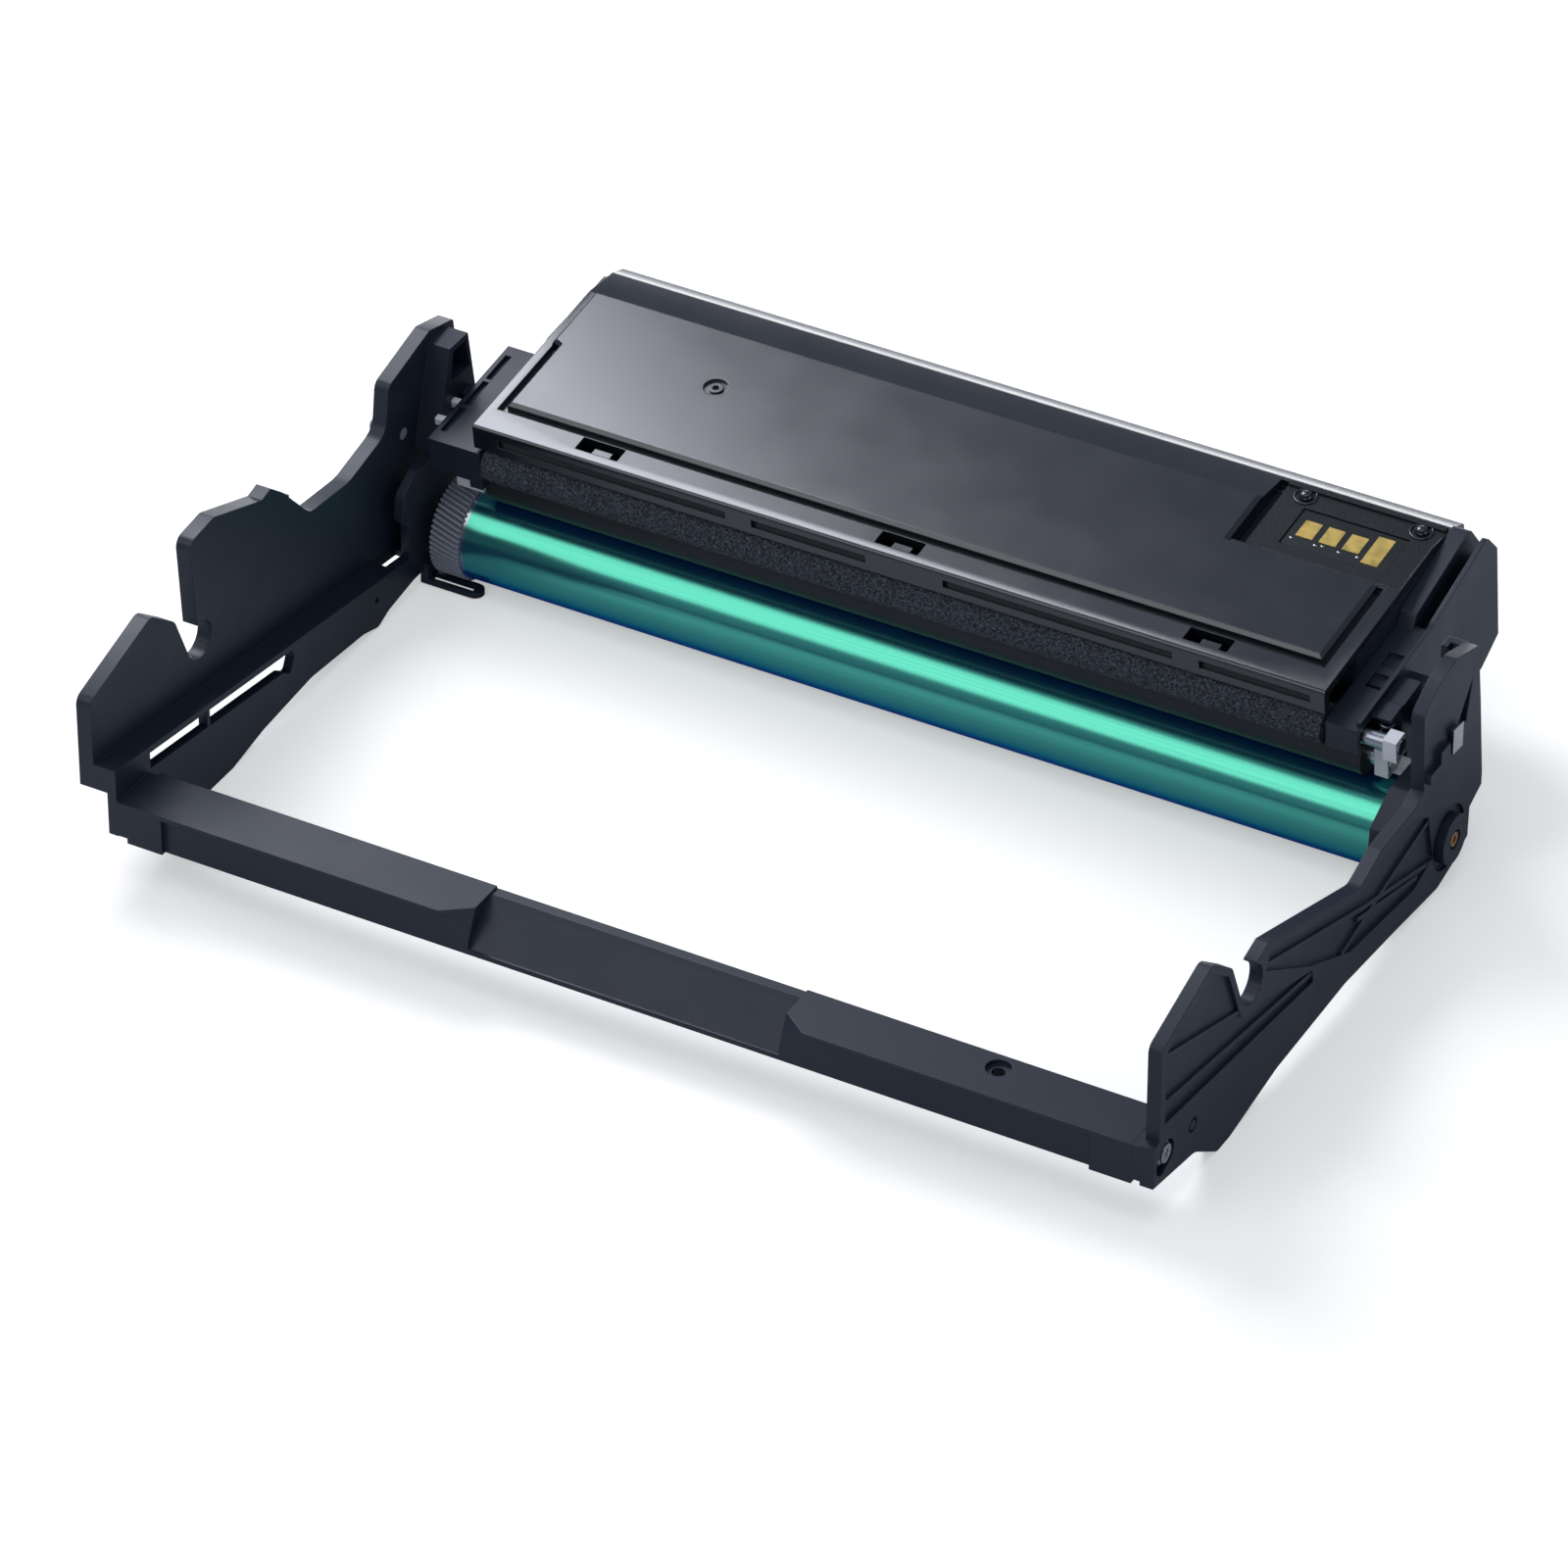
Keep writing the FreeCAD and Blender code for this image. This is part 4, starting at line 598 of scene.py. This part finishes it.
def bead_tree():
    """A flat drop of solder, a little wider than deep, on each of its places."""
    tree, size = new_tree("Solder_beads", bead_sizes)
    drop = flat_ball(tree, 14, 8, size["Bead Radius"],
                     {"X": 1.3, "Y": 0.8, "Z": size["Bead Rise"]})
    finish_tree(tree, leaning_row(tree, size, shade_smooth(tree, drop)), nickel_plate)
    return tree


bead_places = [on_housing(x, y, BEAD_UP_MM) for x, y in BEAD_SPOTS_MM]
beads = grow("solder_beads", bead_tree(), bead_sizes, bead_places, nickel_plate, "carrier")

# %% [markdown]
# Two white snap tabs stand beside the left end shelf. Each is a small moulded block with rounded
# edges, so a cube is stretched to size and bevelled in mesh code.

# %% White tabs beside the shelf
TAB_SIZE_MM = (2.6, 1.9, 2.2)
TAB_EDGE_MM = 0.3
TAB_LEFT_MM, TAB_UP_MM = -9.7, 30.9


def rounded_block(mesh, middle_of_block, size_mm, edge_mm):
    """Adds a block with rounded edges to a mesh that is being built, leaning with the housing."""
    made = bmesh.ops.create_cube(mesh, size=1.0)["verts"]
    lean = Matrix.Rotation(housing_tilt, 4, "X")
    stretch = Matrix.Diagonal((size_mm[0] * MM, size_mm[1] * MM, size_mm[2] * MM, 1.0))
    placing = Matrix.Translation(middle_of_block) @ lean @ stretch
    edges = {edge for vert in made for edge in vert.link_edges}
    bmesh.ops.transform(mesh, matrix=placing, verts=made)
    bmesh.ops.bevel(mesh, geom=list(edges), offset=edge_mm * MM, segments=3, affect="EDGES",
                    profile=0.5)


tabs_build = bmesh.new()
for tab_back in (0.9, 8.2):
    rounded_block(tabs_build, on_housing(TAB_LEFT_MM, tab_back, TAB_UP_MM), TAB_SIZE_MM,
                  TAB_EDGE_MM)
tabs_mesh = bpy.data.meshes.new("shelf_tabs")
tabs_build.to_mesh(tabs_mesh)
tabs_build.free()
tabs_mesh.materials.append(bush_acetal)
shelf_tabs = bpy.data.objects.new("shelf_tabs", tabs_mesh)
bpy.context.scene.collection.objects.link(shelf_tabs)
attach(shelf_tabs, "carrier")
print("tabs:", len(tabs_mesh.polygons), "faces")

# %% [markdown]
# The unit stands on a pale studio floor. To the camera the floor is a plain diffuse white with a
# little glow, so that it reads as pure white and still keeps the shadow. The unit itself sees a
# duller paper, so that its own reflections stay dark.

# %% Floor
FLOOR_SIZE = 6.0
FLOOR_GAP_MM = 0.02
FLOOR_GLOW = 0.42


def studio_white():
    """Paper that looks white to the camera and duller in reflections."""
    material = bpy.data.materials.new("Studio_white")
    material.use_nodes = True
    tree = material.node_tree
    tree.nodes.clear()
    paper = add(tree, "ShaderNodeBsdfDiffuse", {"Color": linear("#efece7")})
    dim_paper = add(tree, "ShaderNodeBsdfDiffuse", {"Color": linear("#c4c8cc")})
    glow = add(tree, "ShaderNodeEmission", {"Color": linear("#ffffff"), "Strength": FLOOR_GLOW})
    glowing_paper = add(tree, "ShaderNodeAddShader", {0: paper.outputs["BSDF"],
                                                      1: glow.outputs["Emission"]})
    path = add(tree, "ShaderNodeLightPath")
    choice = add(tree, "ShaderNodeMixShader", {"Fac": path.outputs["Is Camera Ray"],
                                               1: dim_paper.outputs["BSDF"],
                                               2: glowing_paper.outputs["Shader"]})
    add(tree, "ShaderNodeOutputMaterial", {"Surface": choice.outputs["Shader"]})
    return material


floor_height = cad_box[0].z - FLOOR_GAP_MM * MM
bpy.ops.mesh.primitive_plane_add(size=FLOOR_SIZE, location=(0, 0, floor_height))
floor = bpy.context.object
floor.name = "Studio_floor"
floor.data.materials.append(studio_white())
print("floor at", round(floor_height / MM, 2), "mm")

# %% [markdown]
# The room round the unit is a dim pale blue, which fills the shadows. The camera sees plain
# white in its place.

# %% World
world = bpy.data.worlds.new("Studio_room")
bpy.context.scene.world = world
world.use_nodes = True
sky = world.node_tree
sky.nodes.clear()
room = add(sky, "ShaderNodeBackground", {"Color": linear("#bccae4"), "Strength": 0.38})
backdrop = add(sky, "ShaderNodeBackground", {"Color": linear("#ffffff"), "Strength": 1.0})
ray = add(sky, "ShaderNodeLightPath")
seen = add(sky, "ShaderNodeMixShader", {"Fac": ray.outputs["Is Camera Ray"],
                                        1: room.outputs["Background"],
                                        2: backdrop.outputs["Background"]})
add(sky, "ShaderNodeOutputWorld", {"Surface": seen.outputs["Shader"]})
print("world:", world.name)

# %% [markdown]
# Soft boxes light a product like this. One hangs behind and to the left, where the lid mirrors
# it as a slow change from light to dark. One in front on the left and one overhead light the bar
# and the arms' tops, and two weak ones fill the bar's face and the right arm. A narrow strip
# behind draws a bright line on the lid's far edge.

# %% Lamps
def towards(point, direction, distance):
    """The place at a distance from a point."""
    return Vector(point) + Vector(direction).normalized() * distance


def soft_box(name, place, aim, width, height, power, colour="#ffffff"):
    """A rectangular area lamp that faces a point; sizes in metres, power in watts."""
    data = bpy.data.lights.new(name, "AREA")
    data.shape = "RECTANGLE"
    data.size = width
    data.size_y = height
    data.energy = power
    data.color = linear(colour)[:3]
    lamp = bpy.data.objects.new(name, data)
    lamp.location = Vector(place)
    lamp.visible_camera = False
    lamp.rotation_mode = "QUATERNION"
    lamp.rotation_quaternion = (Vector(aim) - Vector(place)).to_track_quat("-Z", "Y")
    bpy.context.scene.collection.objects.link(lamp)


middle = (cad_box[0] + cad_box[1]) / 2
lid_middle = (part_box("housing_lid")[0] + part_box("housing_lid")[1]) / 2
# Where the lid's middle mirrors the camera; the rear box hangs a little beside it.
lid_mirror = towards(lid_middle, (-0.396, 0.552, 0.734), 0.8)
beside_mirror = Vector((-0.26, -0.16, 0.16))

soft_box("Rear_left_box", lid_mirror + beside_mirror, lid_middle, 0.54, 0.5, 6.5, "#f2f5ff")
soft_box("Front_left_box", towards(middle, (-0.40, -0.66, 0.66), 1.3), middle, 0.9, 0.85, 3.2)
soft_box("Top_box", (0.25, -0.25, 1.6), middle, 1.0, 0.8, 3.4)
soft_box("Low_front_box", towards(middle, (0.30, -0.93, 0.20), 1.2), middle, 0.7, 0.3, 1.1)
soft_box("Right_box", towards(middle, (0.95, 0.15, 0.28), 1.2), middle, 0.6, 0.4, 1.3)
soft_box("Rear_strip", towards(lid_middle, (-0.40, 0.92, 0.06), 1.1), lid_middle, 1.3, 0.15, 3.6)
print("lamps:", [lamp.name for lamp in bpy.data.lights])

# %% [markdown]
# A long lens far away, as for a catalogue picture: the unit's long edges stay nearly parallel.

# %% Camera
# Right of the tube's left end, in front of its axis and above the floor, in metres.
camera_place = Vector((tube_low.x + 1.01185, axis_y - 1.66165, 1.33275))
camera_turn = math.radians(29.17)
camera_rise = math.radians(35.69)
backwards = Vector((math.sin(camera_turn) * math.cos(camera_rise),
                    -math.cos(camera_turn) * math.cos(camera_rise), math.sin(camera_rise)))
camera_data = bpy.data.cameras.new("Catalogue_camera")
camera_data.lens = 220.1
camera_data.sensor_width = 36
camera = bpy.data.objects.new("Catalogue_camera", camera_data)
bpy.context.scene.collection.objects.link(camera)
camera.rotation_mode = "QUATERNION"
camera.rotation_quaternion = (-backwards).to_track_quat("-Z", "Y")
camera.location = camera_place
bpy.context.scene.camera = camera
bpy.context.scene.view_settings.view_transform = "Standard"
print("camera at", [round(v, 3) for v in camera_place], "m")
